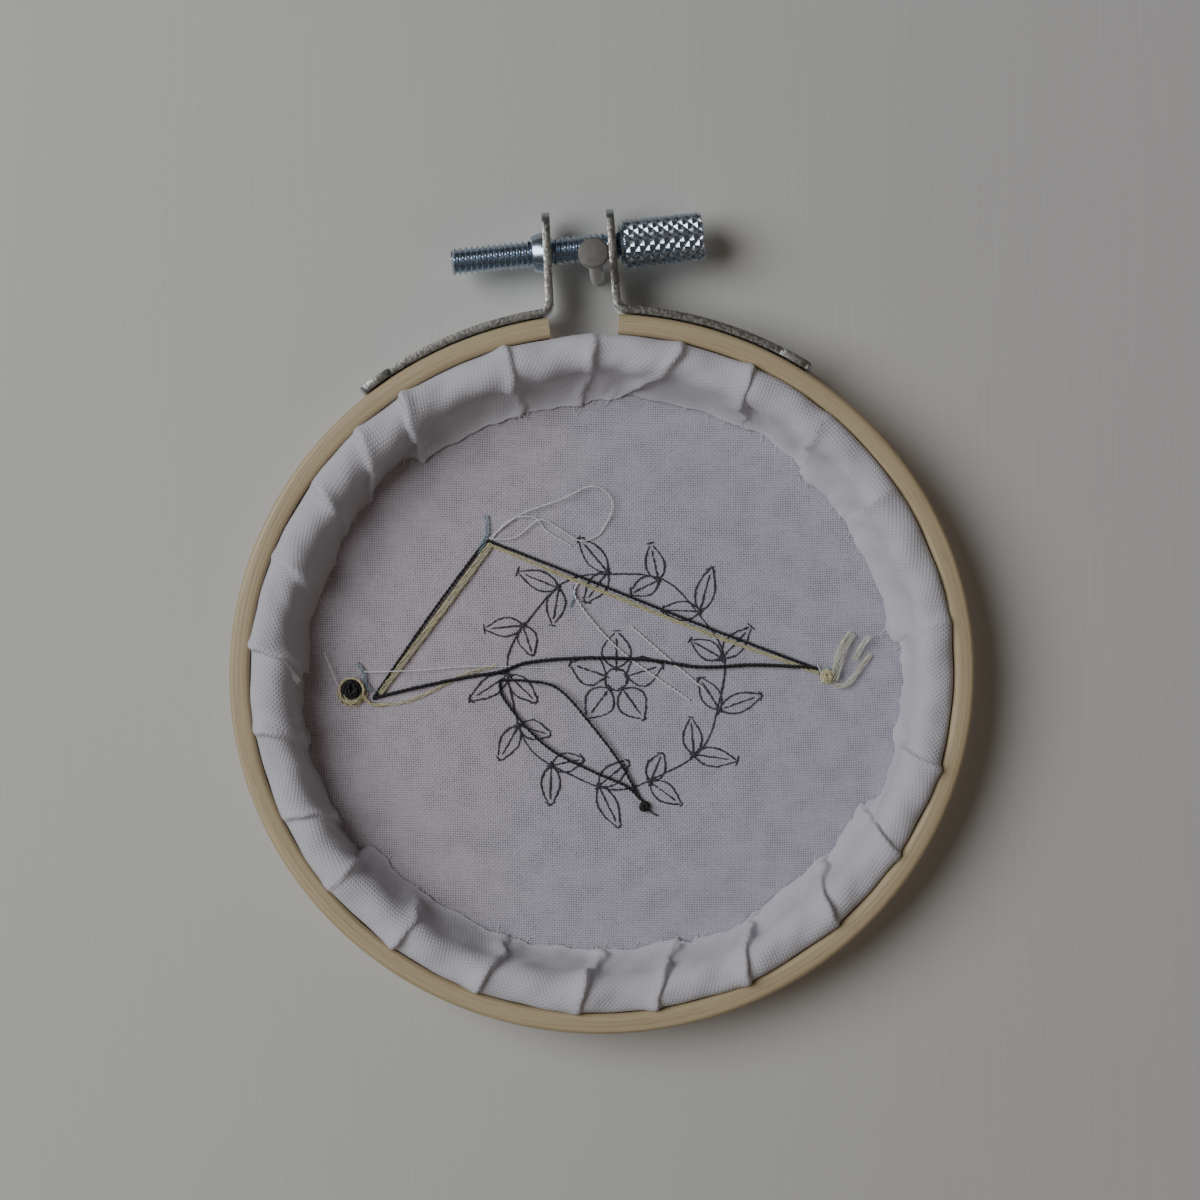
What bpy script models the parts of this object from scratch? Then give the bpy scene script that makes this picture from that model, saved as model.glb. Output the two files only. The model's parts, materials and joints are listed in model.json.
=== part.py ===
"""Hoop embroidery with its back outwards, hanging by its screw on a flat-headed nail.

Metres, +Z up, seen from -Y. The wall would be the plane y = 0, and the origin is the middle of the
nail's cut end there. The hoop's own frame, HoopFrame, sits at the middle of its rings and leans a
little, as the hoop hangs. Round the hoop, an angle runs clockwise from the top, and an inset is the
distance in from the outer ring's outside.
"""

from collections import namedtuple
from math import asin, cos, exp, pi, radians, sin, sqrt, tan

import bmesh
import bpy
from mathutils import Vector

MM = 0.001
GAP = 0.3 * MM

# How the hoop hangs
RING_CENTRE = Vector((0.64, 0, -56.75)) * MM
HANG_TILT = radians(3)

# Bamboo rings
HALF_WIDE = 52.6 * MM
HALF_HIGH = 50.8 * MM
OUTER_THICK = 2.9 * MM
OUTER_FRONT = -1.0 * MM
OUTER_BACK = -10.0 * MM
OUTER_CHAMFER = 0.7 * MM
SPLIT_HALF = 5.05 * MM
INNER_THICK = 3.0 * MM
INNER_FRONT = -2.5 * MM
INNER_BACK = -9.2 * MM
INNER_CHAMFER = 0.6 * MM
SECTIONS = 96
SHARP_ANGLE = radians(35)

# Cloth: the middle of its thickness runs from the drum, round the inner ring, to the raw edge
CLOTH_THICK = 1.0 * MM
CLOTH_OFF = GAP + CLOTH_THICK / 2
INNER_OUTSIDE = OUTER_THICK + CLOTH_OFF * 2
SIDE_INSET = OUTER_THICK + CLOTH_OFF
WALL_INSET = INNER_OUTSIDE + INNER_THICK + CLOTH_OFF
DRUM_Y = INNER_FRONT + CLOTH_OFF
RIM_Y = INNER_BACK - CLOTH_OFF
LIP_LIFT = 0.4 * MM
LIP_Y = DRUM_Y - CLOTH_THICK - LIP_LIFT
FOLD_RADIUS = INNER_CHAMFER + CLOTH_OFF
FOLD_STEPS = 2
DRUM_MIDDLE_INSET = 26 * MM

# The lip slopes from the wall to the raw edge: shares of the way in, and lifts above the edge
WALL_FOOT_SHARE = 0.2
WALL_FOOT_LIFT = 1.6 * MM
LIP_BEND_SHARE = 0.45
LIP_BEND_LIFT = 0.2 * MM

# A pleat's ridge: its spread in degrees, and the share of its height on each stretch of the profile
RIDGE_SPREAD = 2.4
RIDGE_AT_RIM = 0.6
RIDGE_DOWN_LIP = (1, 0.8, 0.6)

# One row for each pleat of the turned-in cloth: its angle in degrees, how far its ridge stands
# proud, and the inset of the raw edge there, both in millimetres
Fold = namedtuple("Fold", "angle ridge edge")
FOLDS = (
    Fold(-31.0, 1.3, 10.4),
    Fold(-13.5, 0.8, 12.4),
    Fold(1.0, 1.0, 11.3),
    Fold(15.0, 1.3, 11.0),
    Fold(28.0, 1.3, 11.4),
    Fold(43.5, 0.7, 10.6),
    Fold(71.0, 0.6, 11.2),
    Fold(84.5, 1.0, 10.1),
    Fold(110.0, 1.0, 9.8),
    Fold(123.5, 1.2, 10.0),
    Fold(138.5, 1.4, 10.8),
    Fold(156.0, 1.3, 10.0),
    Fold(170.0, 1.2, 11.7),
    Fold(186.0, 1.1, 12.0),
    Fold(203.0, 1.3, 10.0),
    Fold(218.0, 0.9, 10.6),
    Fold(241.5, 1.2, 9.8),
    Fold(260.0, 1.1, 10.2),
    Fold(273.5, 1.2, 10.6),
    Fold(289.0, 0.9, 11.0),
    Fold(304.0, 0.9, 9.9),
    Fold(317.0, 0.8, 10.2),
)

# Brackets, one row each: the side it is on, where it leaves the ring, and its ear's lean inwards
Bracket = namedtuple("Bracket", "name side leaves lean")
BRACKETS = (
    Bracket("bracket_left", -1, radians(6.7), radians(0.2)),
    Bracket("bracket_right", 1, radians(6.9), radians(1.5)),
)
STRIP_THICK = 1.1 * MM
STRIP_WIDTH = 7.0 * MM
STRIP_Y = (OUTER_FRONT + OUTER_BACK) / 2
STRIP_END = radians(36.5)
STRIP_STEPS = 6
PAD_START = radians(31.6)
PAD_WIDTH = 8.4 * MM
PAD_CORNER = 1.2 * MM
BEND_RADIUS = 1.8 * MM
BEND_STEPS = 4
EAR_TOP = 65.8 * MM
EAR_CORNER = 2.5 * MM
CORNER_STEPS = 4
COLLAR_FOOT_RADIUS = 2.9 * MM
COLLAR_TIP_RADIUS = 2.6 * MM
COLLAR_LENGTH = 1.6 * MM

# Thumbscrew, along its own X axis
SCREW_HEIGHT = 60.5 * MM
SCREW_TILT = radians(3)
SCREW_RADIUS = 2.0 * MM
SCREW_LEFT = -18.3 * MM
SCREW_CHAMFER = 0.5 * MM
SHOULDER_START = 5.75 * MM
SHOULDER_RADIUS = 2.8 * MM
KNOB_START = 6.3 * MM
KNOB_END = 17.6 * MM
KNOB_RADIUS = 3.5 * MM
KNOB_CHAMFER = 0.4 * MM
DRILL_RADIUS = SCREW_RADIUS + GAP
ROUND_SIDES = 32

# Nail
NAIL_HEAD_MIDDLE = Vector((-0.55, -18.5, 1.5)) * MM
NAIL_RADIUS = 1.0 * MM
NAIL_HEAD_RADIUS = 2.15 * MM
NAIL_HEAD_THICK = 0.9 * MM
NAIL_SIDES = 24


def clear_scene():
    for obj in list(bpy.data.objects):
        bpy.data.objects.remove(obj, do_unlink=True)


def material(name, colour, roughness, metallic=0.0):
    made = bpy.data.materials.new(name)
    made.use_nodes = True
    shader = made.node_tree.nodes["Principled BSDF"]
    shader.inputs["Base Color"].default_value = (*colour, 1)
    shader.inputs["Roughness"].default_value = roughness
    shader.inputs["Metallic"].default_value = metallic
    return made


def object_from(bm, name, finish, parent=None):
    bmesh.ops.recalc_face_normals(bm, faces=bm.faces)
    mesh = bpy.data.meshes.new(name)
    bm.to_mesh(mesh)
    bm.free()
    mesh.shade_smooth()
    mesh.set_sharp_from_angle(angle=SHARP_ANGLE)
    obj = bpy.data.objects.new(name, mesh)
    bpy.context.scene.collection.objects.link(obj)
    obj.parent = parent
    if finish:
        mesh.materials.append(finish)
    return obj


def loft(loops, closed=False):
    """A skin through loops of equal length, capped at both ends unless it closes on itself."""
    bm = bmesh.new()
    rows = [[bm.verts.new(point) for point in loop] for loop in loops]
    for near, far in zip(rows, rows[1:] + rows[:1] if closed else rows[1:]):
        for i in range(len(near)):
            j = (i + 1) % len(near)
            bm.faces.new((near[i], near[j], far[j], far[i]))
    if not closed:
        bm.faces.new(rows[0])
        bm.faces.new(rows[-1])
    return bm


def turned(profile, sides):
    """A solid turned about X from (x, radius) pairs."""
    loops = []
    for x, radius in profile:
        angles = [2 * pi * i / sides for i in range(sides)]
        loops.append([(x, radius * cos(a), radius * sin(a)) for a in angles])
    return loft(loops)


def helper(bm, name, parent=None):
    """A cutter or a shape to join: it is left out of the build."""
    obj = object_from(bm, name, None, parent)
    obj.hide_render = True
    obj.display_type = "WIRE"
    return obj


def boolean(obj, other, operation):
    modifier = obj.modifiers.new(other.name, "BOOLEAN")
    modifier.operation = operation
    modifier.object = other


def on_hoop(angle, inset, y):
    return Vector(((HALF_WIDE - inset) * sin(angle), y, (HALF_HIGH - inset) * cos(angle)))


def chamfered_band(outside, inside, front, back, chamfer):
    """A ring's section, as (inset, y) corners in order."""
    return (
        (outside + chamfer, front),
        (outside, front - chamfer),
        (outside, back + chamfer),
        (outside + chamfer, back),
        (inside - chamfer, back),
        (inside, back + chamfer),
        (inside, front - chamfer),
        (inside - chamfer, front),
    )


def outer_ring(parent, finish):
    section = chamfered_band(0, OUTER_THICK, OUTER_FRONT, OUTER_BACK, OUTER_CHAMFER)
    split = asin(SPLIT_HALF / HALF_WIDE)
    turn = 2 * pi - 2 * split
    angles = [split + turn * i / SECTIONS for i in range(SECTIONS + 1)]
    loops = [[on_hoop(a, *point) for point in section] for a in angles]
    return object_from(loft(loops), "outer_ring", finish, parent)


def inner_ring(parent, finish):
    inside = INNER_OUTSIDE + INNER_THICK
    section = chamfered_band(INNER_OUTSIDE, inside, INNER_FRONT, INNER_BACK, INNER_CHAMFER)
    angles = [2 * pi * i / SECTIONS for i in range(SECTIONS)]
    loops = [[on_hoop(a, *point) for point in section] for a in angles]
    return object_from(loft(loops, closed=True), "inner_ring", finish, parent)


def edge_inset(angle):
    """The raw edge's inset at an angle in degrees, eased from one pleat to the next."""
    rows = list(FOLDS) + [FOLDS[0]._replace(angle=FOLDS[0].angle + 360)]
    while angle > rows[-1].angle:
        angle -= 360
    for before, after in zip(rows, rows[1:]):
        if angle <= after.angle:
            share = (angle - before.angle) / (after.angle - before.angle)
            eased = (1 - cos(pi * share)) / 2
            return (before.edge + (after.edge - before.edge) * eased) * MM


def ridge_height(angle):
    total = 0
    for fold in FOLDS:
        off = (angle - fold.angle + 180) % 360 - 180
        total += fold.ridge * exp(-((off / RIDGE_SPREAD) ** 2))
    return total * MM


def fold_arc(inset, y, start):
    """A quarter turn of the cloth about (inset, y), from a start angle in degrees."""
    steps = [radians(start + 90 * i / FOLD_STEPS) for i in range(FOLD_STEPS + 1)]
    return [(inset + FOLD_RADIUS * cos(a), y + FOLD_RADIUS * sin(a)) for a in steps]


def cloth_profile(edge):
    """(inset, y, share of the ridge) from the drum's middle to the raw edge."""
    round_side = SIDE_INSET + FOLD_RADIUS
    round_wall = WALL_INSET - FOLD_RADIUS
    flat = [(DRUM_MIDDLE_INSET, DRUM_Y)] + fold_arc(round_side, DRUM_Y - FOLD_RADIUS, 90)
    over = fold_arc(round_side, RIM_Y + FOLD_RADIUS, 180)
    down = fold_arc(round_wall, RIM_Y + FOLD_RADIUS, 270)
    run = edge - WALL_INSET
    lip = [
        (WALL_INSET + WALL_FOOT_SHARE * run, LIP_Y - WALL_FOOT_LIFT),
        (WALL_INSET + LIP_BEND_SHARE * run, LIP_Y - LIP_BEND_LIFT),
        (edge, LIP_Y),
    ]
    hidden = [0] * (len(flat) + FOLD_STEPS)
    shares = hidden + [RIDGE_AT_RIM] + [1] * len(down) + list(RIDGE_DOWN_LIP)
    return [(*point, share) for point, share in zip(flat + over + down + lip, shares)]


def raised(profile, ridge):
    """The profile moved out along its own normal by the ridge's share."""
    last = len(profile) - 1
    moved = []
    for i, (inset, y, share) in enumerate(profile):
        before = profile[max(i - 1, 0)]
        after = profile[min(i + 1, last)]
        run = Vector((after[0] - before[0], after[1] - before[1])).normalized()
        moved.append((inset + run.y * ridge * share, y - run.x * ridge * share))
    return moved


def cloth(parent, finish):
    bm = bmesh.new()
    middle = bm.verts.new((0, DRUM_Y, 0))
    rows = []
    for i in range(SECTIONS):
        degrees = 360 * i / SECTIONS
        profile = raised(cloth_profile(edge_inset(degrees)), ridge_height(degrees))
        rows.append([bm.verts.new(on_hoop(radians(degrees), *point)) for point in profile])
    for near, far in zip(rows, rows[1:] + rows[:1]):
        bm.faces.new((middle, near[0], far[0]))
        for i in range(len(near) - 1):
            bm.faces.new((near[i], near[i + 1], far[i + 1], far[i]))
    obj = object_from(bm, "cloth", finish, parent)
    solidify = obj.modifiers.new("Thickness", "SOLIDIFY")
    solidify.thickness = CLOTH_THICK
    solidify.offset = 0
    return obj


def corner_width(depth, full, corner):
    """The half width of a plate with round corners, at a depth below its end."""
    short = corner - min(depth, corner)
    return full / 2 - corner + sqrt(corner**2 - short**2)


def corner_depths(corner):
    """Depths below a plate's end that follow its round corners."""
    quarter = [pi / 2 * i / CORNER_STEPS for i in range(CORNER_STEPS + 1)]
    return [corner * (1 - cos(a)) for a in quarter]


def strip_stations(row):
    """(point, heading, half width) along the strip's middle: pad, run, bend and ear.

    Points and headings are on the right-hand side; heading is anticlockwise from +X."""
    out = STRIP_THICK / 2 + GAP
    length = HALF_HIGH + out
    stations = []
    for depth in corner_depths(PAD_CORNER):
        angle = STRIP_END - depth / length
        stations.append((angle, corner_width(depth, PAD_WIDTH, PAD_CORNER)))
    stations.append((PAD_START, PAD_WIDTH / 2))
    start = PAD_START - GAP / length
    for i in range(STRIP_STEPS + 1):
        angle = start - (start - row.leaves) * i / STRIP_STEPS
        stations.append((angle, STRIP_WIDTH / 2))
    found = []
    for angle, half in stations:
        point = on_hoop(angle, -out, 0)
        found.append((Vector((point.x, point.z)), pi - angle, half))
    point, heading, half = found[-1]
    up = pi / 2 + row.lean
    centre = point + BEND_RADIUS * Vector((sin(heading), -cos(heading)))
    for i in range(1, BEND_STEPS + 1):
        turn = heading + (up - heading) * i / BEND_STEPS
        found.append((centre - BEND_RADIUS * Vector((sin(turn), -cos(turn))), turn, half))
    foot = found[-1][0]
    along = Vector((cos(up), sin(up)))
    length = (EAR_TOP - foot.y) / along.y
    for depth in reversed(corner_depths(EAR_CORNER)):
        width = corner_width(depth, STRIP_WIDTH, EAR_CORNER)
        found.append((foot + along * (length - depth), up, width))
    return found


def bracket(row, parent, finish):
    loops = []
    for point, heading, half in strip_stations(row):
        across = STRIP_THICK / 2 * Vector((sin(heading), -cos(heading)))
        loop = []
        for side, y in ((1, -half), (1, half), (-1, half), (-1, -half)):
            corner = point + side * across
            loop.append((row.side * corner.x, STRIP_Y + y, corner.y))
        loops.append(loop)
    return object_from(loft(loops), row.name, finish, parent)


def ear_middle(row):
    """Where the screw's axis passes through the ear, in the hoop's frame."""
    top, up, _ = strip_stations(row)[-1]
    rise = SCREW_HEIGHT - top.y
    x = row.side * (top.x + rise * cos(up) / sin(up))
    return Vector((x, STRIP_Y, SCREW_HEIGHT + x * tan(SCREW_TILT)))


def collar(row, parent):
    middle = ear_middle(row)
    profile = (
        (-STRIP_THICK / 2 - COLLAR_LENGTH, COLLAR_TIP_RADIUS),
        (-STRIP_THICK / 4, COLLAR_FOOT_RADIUS),
        (STRIP_THICK / 4, COLLAR_FOOT_RADIUS),
    )
    obj = helper(turned(profile, ROUND_SIDES), "collar_shape", parent)
    obj.location = middle
    obj.rotation_euler.y = -SCREW_TILT
    return obj


def screw_line(obj):
    """Puts an object made along X on the screw's axis."""
    obj.location = (0, STRIP_Y, SCREW_HEIGHT)
    obj.rotation_euler.y = -SCREW_TILT


def drill(parent):
    reach = 12 * MM
    obj = helper(turned(((-reach, DRILL_RADIUS), (reach, DRILL_RADIUS)), ROUND_SIDES), "drill", parent)
    screw_line(obj)
    return obj


def thumbscrew(parent, finish):
    profile = (
        (SCREW_LEFT, SCREW_RADIUS - SCREW_CHAMFER),
        (SCREW_LEFT + SCREW_CHAMFER, SCREW_RADIUS),
        (SHOULDER_START, SCREW_RADIUS),
        (SHOULDER_START, SHOULDER_RADIUS),
        (KNOB_START, SHOULDER_RADIUS),
        (KNOB_START, KNOB_RADIUS - KNOB_CHAMFER),
        (KNOB_START + KNOB_CHAMFER, KNOB_RADIUS),
        (KNOB_END - KNOB_CHAMFER, KNOB_RADIUS),
        (KNOB_END, KNOB_RADIUS - KNOB_CHAMFER),
    )
    obj = object_from(turned(profile, ROUND_SIDES), "thumbscrew", finish, parent)
    screw_line(obj)
    return obj


def nail(finish):
    """Turned along X, swung onto its own line, then cut flush with the wall."""
    length = NAIL_HEAD_MIDDLE.length
    profile = (
        (-2 * NAIL_RADIUS, NAIL_RADIUS),
        (length - NAIL_HEAD_THICK / 2, NAIL_RADIUS),
        (length - NAIL_HEAD_THICK / 2, NAIL_HEAD_RADIUS),
        (length + NAIL_HEAD_THICK / 2, NAIL_HEAD_RADIUS),
    )
    bm = turned(profile, NAIL_SIDES)
    swing = Vector((1, 0, 0)).rotation_difference(NAIL_HEAD_MIDDLE.normalized())
    bmesh.ops.transform(bm, matrix=swing.to_matrix().to_4x4(), verts=bm.verts)
    everything = bm.verts[:] + bm.edges[:] + bm.faces[:]
    cut = bmesh.ops.bisect_plane(
        bm, geom=everything, plane_co=(0, 0, 0), plane_no=(0, 1, 0), clear_outer=True
    )
    rim = [part for part in cut["geom_cut"] if isinstance(part, bmesh.types.BMEdge)]
    bmesh.ops.holes_fill(bm, edges=rim)
    return object_from(bm, "nail", finish)


def main():
    clear_scene()
    bamboo = material("bamboo", (0.56, 0.47, 0.31), 0.55)
    cotton = material("white_cotton", (0.72, 0.71, 0.76), 0.9)
    steel = material("zinc_steel", (0.55, 0.58, 0.6), 0.35, 1.0)
    nail_steel = material("dull_nail", (0.3, 0.29, 0.27), 0.6, 0.9)

    frame = bpy.data.objects.new("HoopFrame", None)
    bpy.context.scene.collection.objects.link(frame)
    frame.location = RING_CENTRE
    frame.rotation_euler.y = -HANG_TILT

    outer_ring(frame, bamboo)
    inner_ring(frame, bamboo)
    cloth(frame, cotton)
    hole = drill(frame)
    for row in BRACKETS:
        plate = bracket(row, frame, steel)
        if row.side < 0:
            boolean(plate, collar(row, frame), "UNION")
        boolean(plate, hole, "DIFFERENCE")
    thumbscrew(frame, steel)
    nail(nail_steel)


main()
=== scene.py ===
# %% [markdown]
# # The back of a stitched hoop
# A round of white cotton is stretched in a small bamboo hoop, embroidered, and hung by its clamp screw
# on a flat-headed nail, with the wrong side of the work outwards. So the eye sees what a maker
# usually hides: the gathered edge of the cloth, the carried threads, the knots and the loose ends.
#
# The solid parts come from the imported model, which is loaded first and never moved. Everything that
# follows is looks: finer shapes over those solids, and a procedural finish for each of them.

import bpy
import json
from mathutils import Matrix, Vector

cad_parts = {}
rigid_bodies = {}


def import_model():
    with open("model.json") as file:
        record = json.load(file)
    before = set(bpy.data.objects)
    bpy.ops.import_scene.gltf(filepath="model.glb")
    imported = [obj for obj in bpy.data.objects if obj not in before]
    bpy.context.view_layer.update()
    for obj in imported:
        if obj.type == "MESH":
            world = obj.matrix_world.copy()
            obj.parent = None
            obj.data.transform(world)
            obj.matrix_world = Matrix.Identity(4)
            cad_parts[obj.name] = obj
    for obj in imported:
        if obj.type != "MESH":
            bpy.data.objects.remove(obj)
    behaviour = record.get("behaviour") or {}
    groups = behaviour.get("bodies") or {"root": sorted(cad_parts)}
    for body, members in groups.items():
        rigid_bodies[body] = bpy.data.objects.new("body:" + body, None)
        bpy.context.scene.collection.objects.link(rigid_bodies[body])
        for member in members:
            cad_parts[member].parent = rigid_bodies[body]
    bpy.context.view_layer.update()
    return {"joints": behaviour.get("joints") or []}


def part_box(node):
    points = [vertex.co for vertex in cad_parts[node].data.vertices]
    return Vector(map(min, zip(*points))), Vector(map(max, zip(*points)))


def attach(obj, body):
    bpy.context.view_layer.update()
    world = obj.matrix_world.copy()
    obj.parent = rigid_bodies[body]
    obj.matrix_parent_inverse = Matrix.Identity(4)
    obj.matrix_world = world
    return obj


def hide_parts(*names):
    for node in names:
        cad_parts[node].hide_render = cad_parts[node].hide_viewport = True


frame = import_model()

# %% Modules and units
import json
from collections import namedtuple
from math import cos, pi, radians, sin, sqrt

import bmesh
import bpy
import numpy as np
from mathutils import Matrix, Vector

MM = 0.001
scene = bpy.context.scene
rng = np.random.default_rng(7)
print("working in metres, with", MM, "m to the millimetre")

# %% [markdown]
# ## Where the hoop is
# The rings are slightly oval, and they lean a little, as a hoop does that hangs from its screw. The
# inner ring is a whole ellipse, so the middle of its box is the middle of the hoop, and its half
# axes follow from the box once the lean is taken out. Places round the hoop are then an angle,
# clockwise from the hoop's own top, an inset from the outer ring's outside, and a depth y.

# %% The hoop's centre, half axes and lean
HANG_TILT = radians(3)
OUTER_THICK = 2.9 * MM
INNER_SIDE_INSET = 4.5 * MM

ring_low, ring_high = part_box("inner_ring")
ring_middle = (ring_low + ring_high) / 2
hoop_centre = Vector((ring_middle.x, 0, ring_middle.z))
box_half = (ring_high - ring_low) / 2


def unleaned(along, across):
    """A half axis of a leaning ellipse, from the half sizes of its box."""
    c2, s2 = cos(HANG_TILT) ** 2, sin(HANG_TILT) ** 2
    return sqrt((along**2 * c2 - across**2 * s2) / (c2 - s2))


HALF_WIDE = unleaned(box_half.x, box_half.z) + INNER_SIDE_INSET
HALF_HIGH = unleaned(box_half.z, box_half.x) + INNER_SIDE_INSET
RING_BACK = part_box("outer_ring")[0].y
RING_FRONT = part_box("outer_ring")[1].y
HOOP = Matrix.Translation(hoop_centre) @ Matrix.Rotation(-HANG_TILT, 4, "Y")


def on_hoop(angle, inset, y):
    """World places of points given by angle, inset and depth, as one array."""
    x = (HALF_WIDE - inset) * np.sin(angle)
    z = (HALF_HIGH - inset) * np.cos(angle)
    c, s = cos(HANG_TILT), sin(HANG_TILT)
    rows = np.broadcast_arrays(x * c - z * s, y, x * s + z * c)
    return np.stack(rows, axis=-1) + np.array(hoop_centre)


print(f"hoop {2000 * HALF_WIDE:.1f} x {2000 * HALF_HIGH:.1f} mm about {hoop_centre}")

# %% [markdown]
# ## Camera, light and wall
# The camera looks straight at the wall from 400 mm, a little above the hoop's middle. One large soft
# light stands far to the left, so that everything throws a soft shadow to the right, and a weak
# warm one answers it from the lower right. The wall is a painted board with fine upright brush marks.
# Its paint grows darker and a little purple towards the right: painted shade, for the fall-off of the
# left light across the wall. It is only a backdrop: it lets itself be looked through from behind, and
# it lets shadow rays pass, so that a small lamp behind it can show the front of the work in views from that
# side.

# %% Camera
VIEW_DISTANCE = 400 * MM
VIEW_WIDTH = 169 * MM
VIEW_ASIDE = -0.28 * MM
VIEW_ABOVE = 10.42 * MM

camera_data = bpy.data.cameras.new("view")
camera_data.lens = camera_data.sensor_width * VIEW_DISTANCE / VIEW_WIDTH
camera_data.clip_start = 0.01
camera = bpy.data.objects.new("view", camera_data)
camera.location = (hoop_centre.x + VIEW_ASIDE, RING_BACK - VIEW_DISTANCE, hoop_centre.z + VIEW_ABOVE)
camera.rotation_euler = (pi / 2, 0, 0)
scene.collection.objects.link(camera)
scene.camera = camera
print(f"camera {camera_data.lens:.1f} mm lens at {camera.location}")

# %% Lights
Lamp = namedtuple("Lamp", "name place size watts colour")
LAMPS = (
    Lamp("window", (-0.80, -0.90, 0.16), 0.95, 13.8, (0.95, 0.98, 1.0)),
    Lamp("room", (0.75, -0.9, -0.75), 0.9, 1.3, (1.0, 0.84, 0.70)),
    Lamp("behind", (-0.04, 0.8, 0.0), 0.5, 5.0, (1.0, 0.98, 0.95)),
)
SKY_COLOUR = (0.90, 0.80, 0.68, 1)
SKY_STRENGTH = 0.08


def add_lamp(row):
    data = bpy.data.lights.new(row.name, "AREA")
    data.shape = "DISK"
    data.size = row.size
    data.energy = row.watts
    data.color = row.colour
    lamp = bpy.data.objects.new(row.name, data)
    lamp.location = row.place
    lamp.rotation_euler = (hoop_centre - lamp.location).to_track_quat("-Z", "Y").to_euler()
    lamp.visible_camera = False
    scene.collection.objects.link(lamp)


for row in LAMPS:
    add_lamp(row)
scene.world = bpy.data.worlds.new("studio")
scene.world.use_nodes = True
sky = scene.world.node_tree.nodes["Background"]
sky.inputs["Color"].default_value = SKY_COLOUR
sky.inputs["Strength"].default_value = SKY_STRENGTH
print(len(LAMPS), "lamps and a dim even sky")

# %% [markdown]
# ## Node graphs as arithmetic
# Shader and geometry nodes are both graphs of sockets. One small class wraps a socket so that sums
# and products are written as Python expressions, and one method makes every other kind of node: it
# takes the node's type, its settings, and the values or links of its sockets.

# %% Value and Graph
class Value:
    """One output socket. Arithmetic on it adds Math nodes to its graph."""

    def __init__(self, graph, socket):
        self.graph = graph
        self.socket = socket

    def output(self, name):
        """Another output of the same node."""
        return Value(self.graph, self.socket.node.outputs[name])

    def __add__(self, other):
        return self.graph.math("ADD", self, other)

    __radd__ = __add__

    def __mul__(self, other):
        return self.graph.math("MULTIPLY", self, other)

    __rmul__ = __mul__

    def __sub__(self, other):
        return self.graph.math("SUBTRACT", self, other)

    def __rsub__(self, other):
        return self.graph.math("SUBTRACT", other, self)

    def __truediv__(self, other):
        return self.graph.math("DIVIDE", self, other)

    def __pow__(self, other):
        return self.graph.math("POWER", self, other)


class Graph:
    """A node tree that is being written."""

    def __init__(self, tree):
        self.tree = tree

    def node(self, kind, settings=None, sockets=None, out=0):
        made = self.tree.nodes.new(kind)
        for name, value in (settings or {}).items():
            setattr(made, name, value)
        for key, value in (sockets or {}).items():
            if isinstance(value, Value):
                self.tree.links.new(value.socket, made.inputs[key])
            else:
                made.inputs[key].default_value = value
        return Value(self, made.outputs[out]) if len(made.outputs) else made

    def math(self, operation, *values):
        settings = {"operation": operation}
        return self.node("ShaderNodeMath", settings, dict(enumerate(values)))

    def vector(self, operation, *values):
        settings = {"operation": operation}
        return self.node("ShaderNodeVectorMath", settings, dict(enumerate(values)))

    def between(self, value, low, high):
        """0 below low, 1 above high, and an eased slope from one to the other."""
        settings = {"interpolation_type": "SMOOTHSTEP"}
        return self.node("ShaderNodeMapRange", settings, {0: value, 1: low, 2: high})

    def scaled(self, vector, amount):
        settings = {"operation": "SCALE"}
        return self.node("ShaderNodeVectorMath", settings, {0: vector, "Scale": amount})

    def parts(self, vector):
        """A vector's three numbers."""
        made = self.node("ShaderNodeSeparateXYZ", None, {0: vector})
        return made, made.output("Y"), made.output("Z")

    def joined(self, x, y, z):
        return self.node("ShaderNodeCombineXYZ", None, {0: x, 1: y, 2: z})


print("Value wraps a socket, Graph writes nodes")

# %% [markdown]
# ## Finishes
# Each material is a Finish: a Graph with a Principled shader, colour mixing, noise and a bump. The
# constant values are set on the shader's own sockets, and only what varies is linked.

# %% Finish
class Finish(Graph):
    """A material's graph, with its Principled shader."""

    def __init__(self, name, **constants):
        self.material = bpy.data.materials.new(name)
        self.material.use_nodes = True
        super().__init__(self.material.node_tree)
        self.shader = self.tree.nodes["Principled BSDF"]
        for key, value in constants.items():
            self.shader.inputs[key.replace("_", " ").title()].default_value = value

    def feed(self, name, value):
        self.tree.links.new(value.socket, self.shader.inputs[name])

    def place(self):
        """Where a point is on the object, in millimetres."""
        here = self.node("ShaderNodeTexCoord", out=3)
        return self.vector("MULTIPLY", here, (1000, 1000, 1000))

    def pattern(self):
        """The piece's own UV map, named pattern."""
        return self.node("ShaderNodeUVMap", {"uv_map": "pattern"})

    def noise(self, vector, scale, detail=2.0, stretch=(1, 1, 1)):
        spread = self.vector("MULTIPLY", vector, stretch)
        return self.node("ShaderNodeTexNoise", None, {"Vector": spread, "Scale": scale, "Detail": detail})

    def mix(self, share, low, high):
        settings = {"data_type": "RGBA"}
        return self.node("ShaderNodeMix", settings, {0: share, 6: low, 7: high}, out=2)

    def bump(self, height, depth, strength=1.0):
        """Raises the surface by height, where 1 stands for depth in metres."""
        sockets = {"Height": height, "Distance": depth, "Strength": strength}
        self.feed("Normal", self.node("ShaderNodeBump", None, sockets))


def rgb(r, g, b):
    return (r, g, b, 1)


print("a Finish holds one material")

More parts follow.
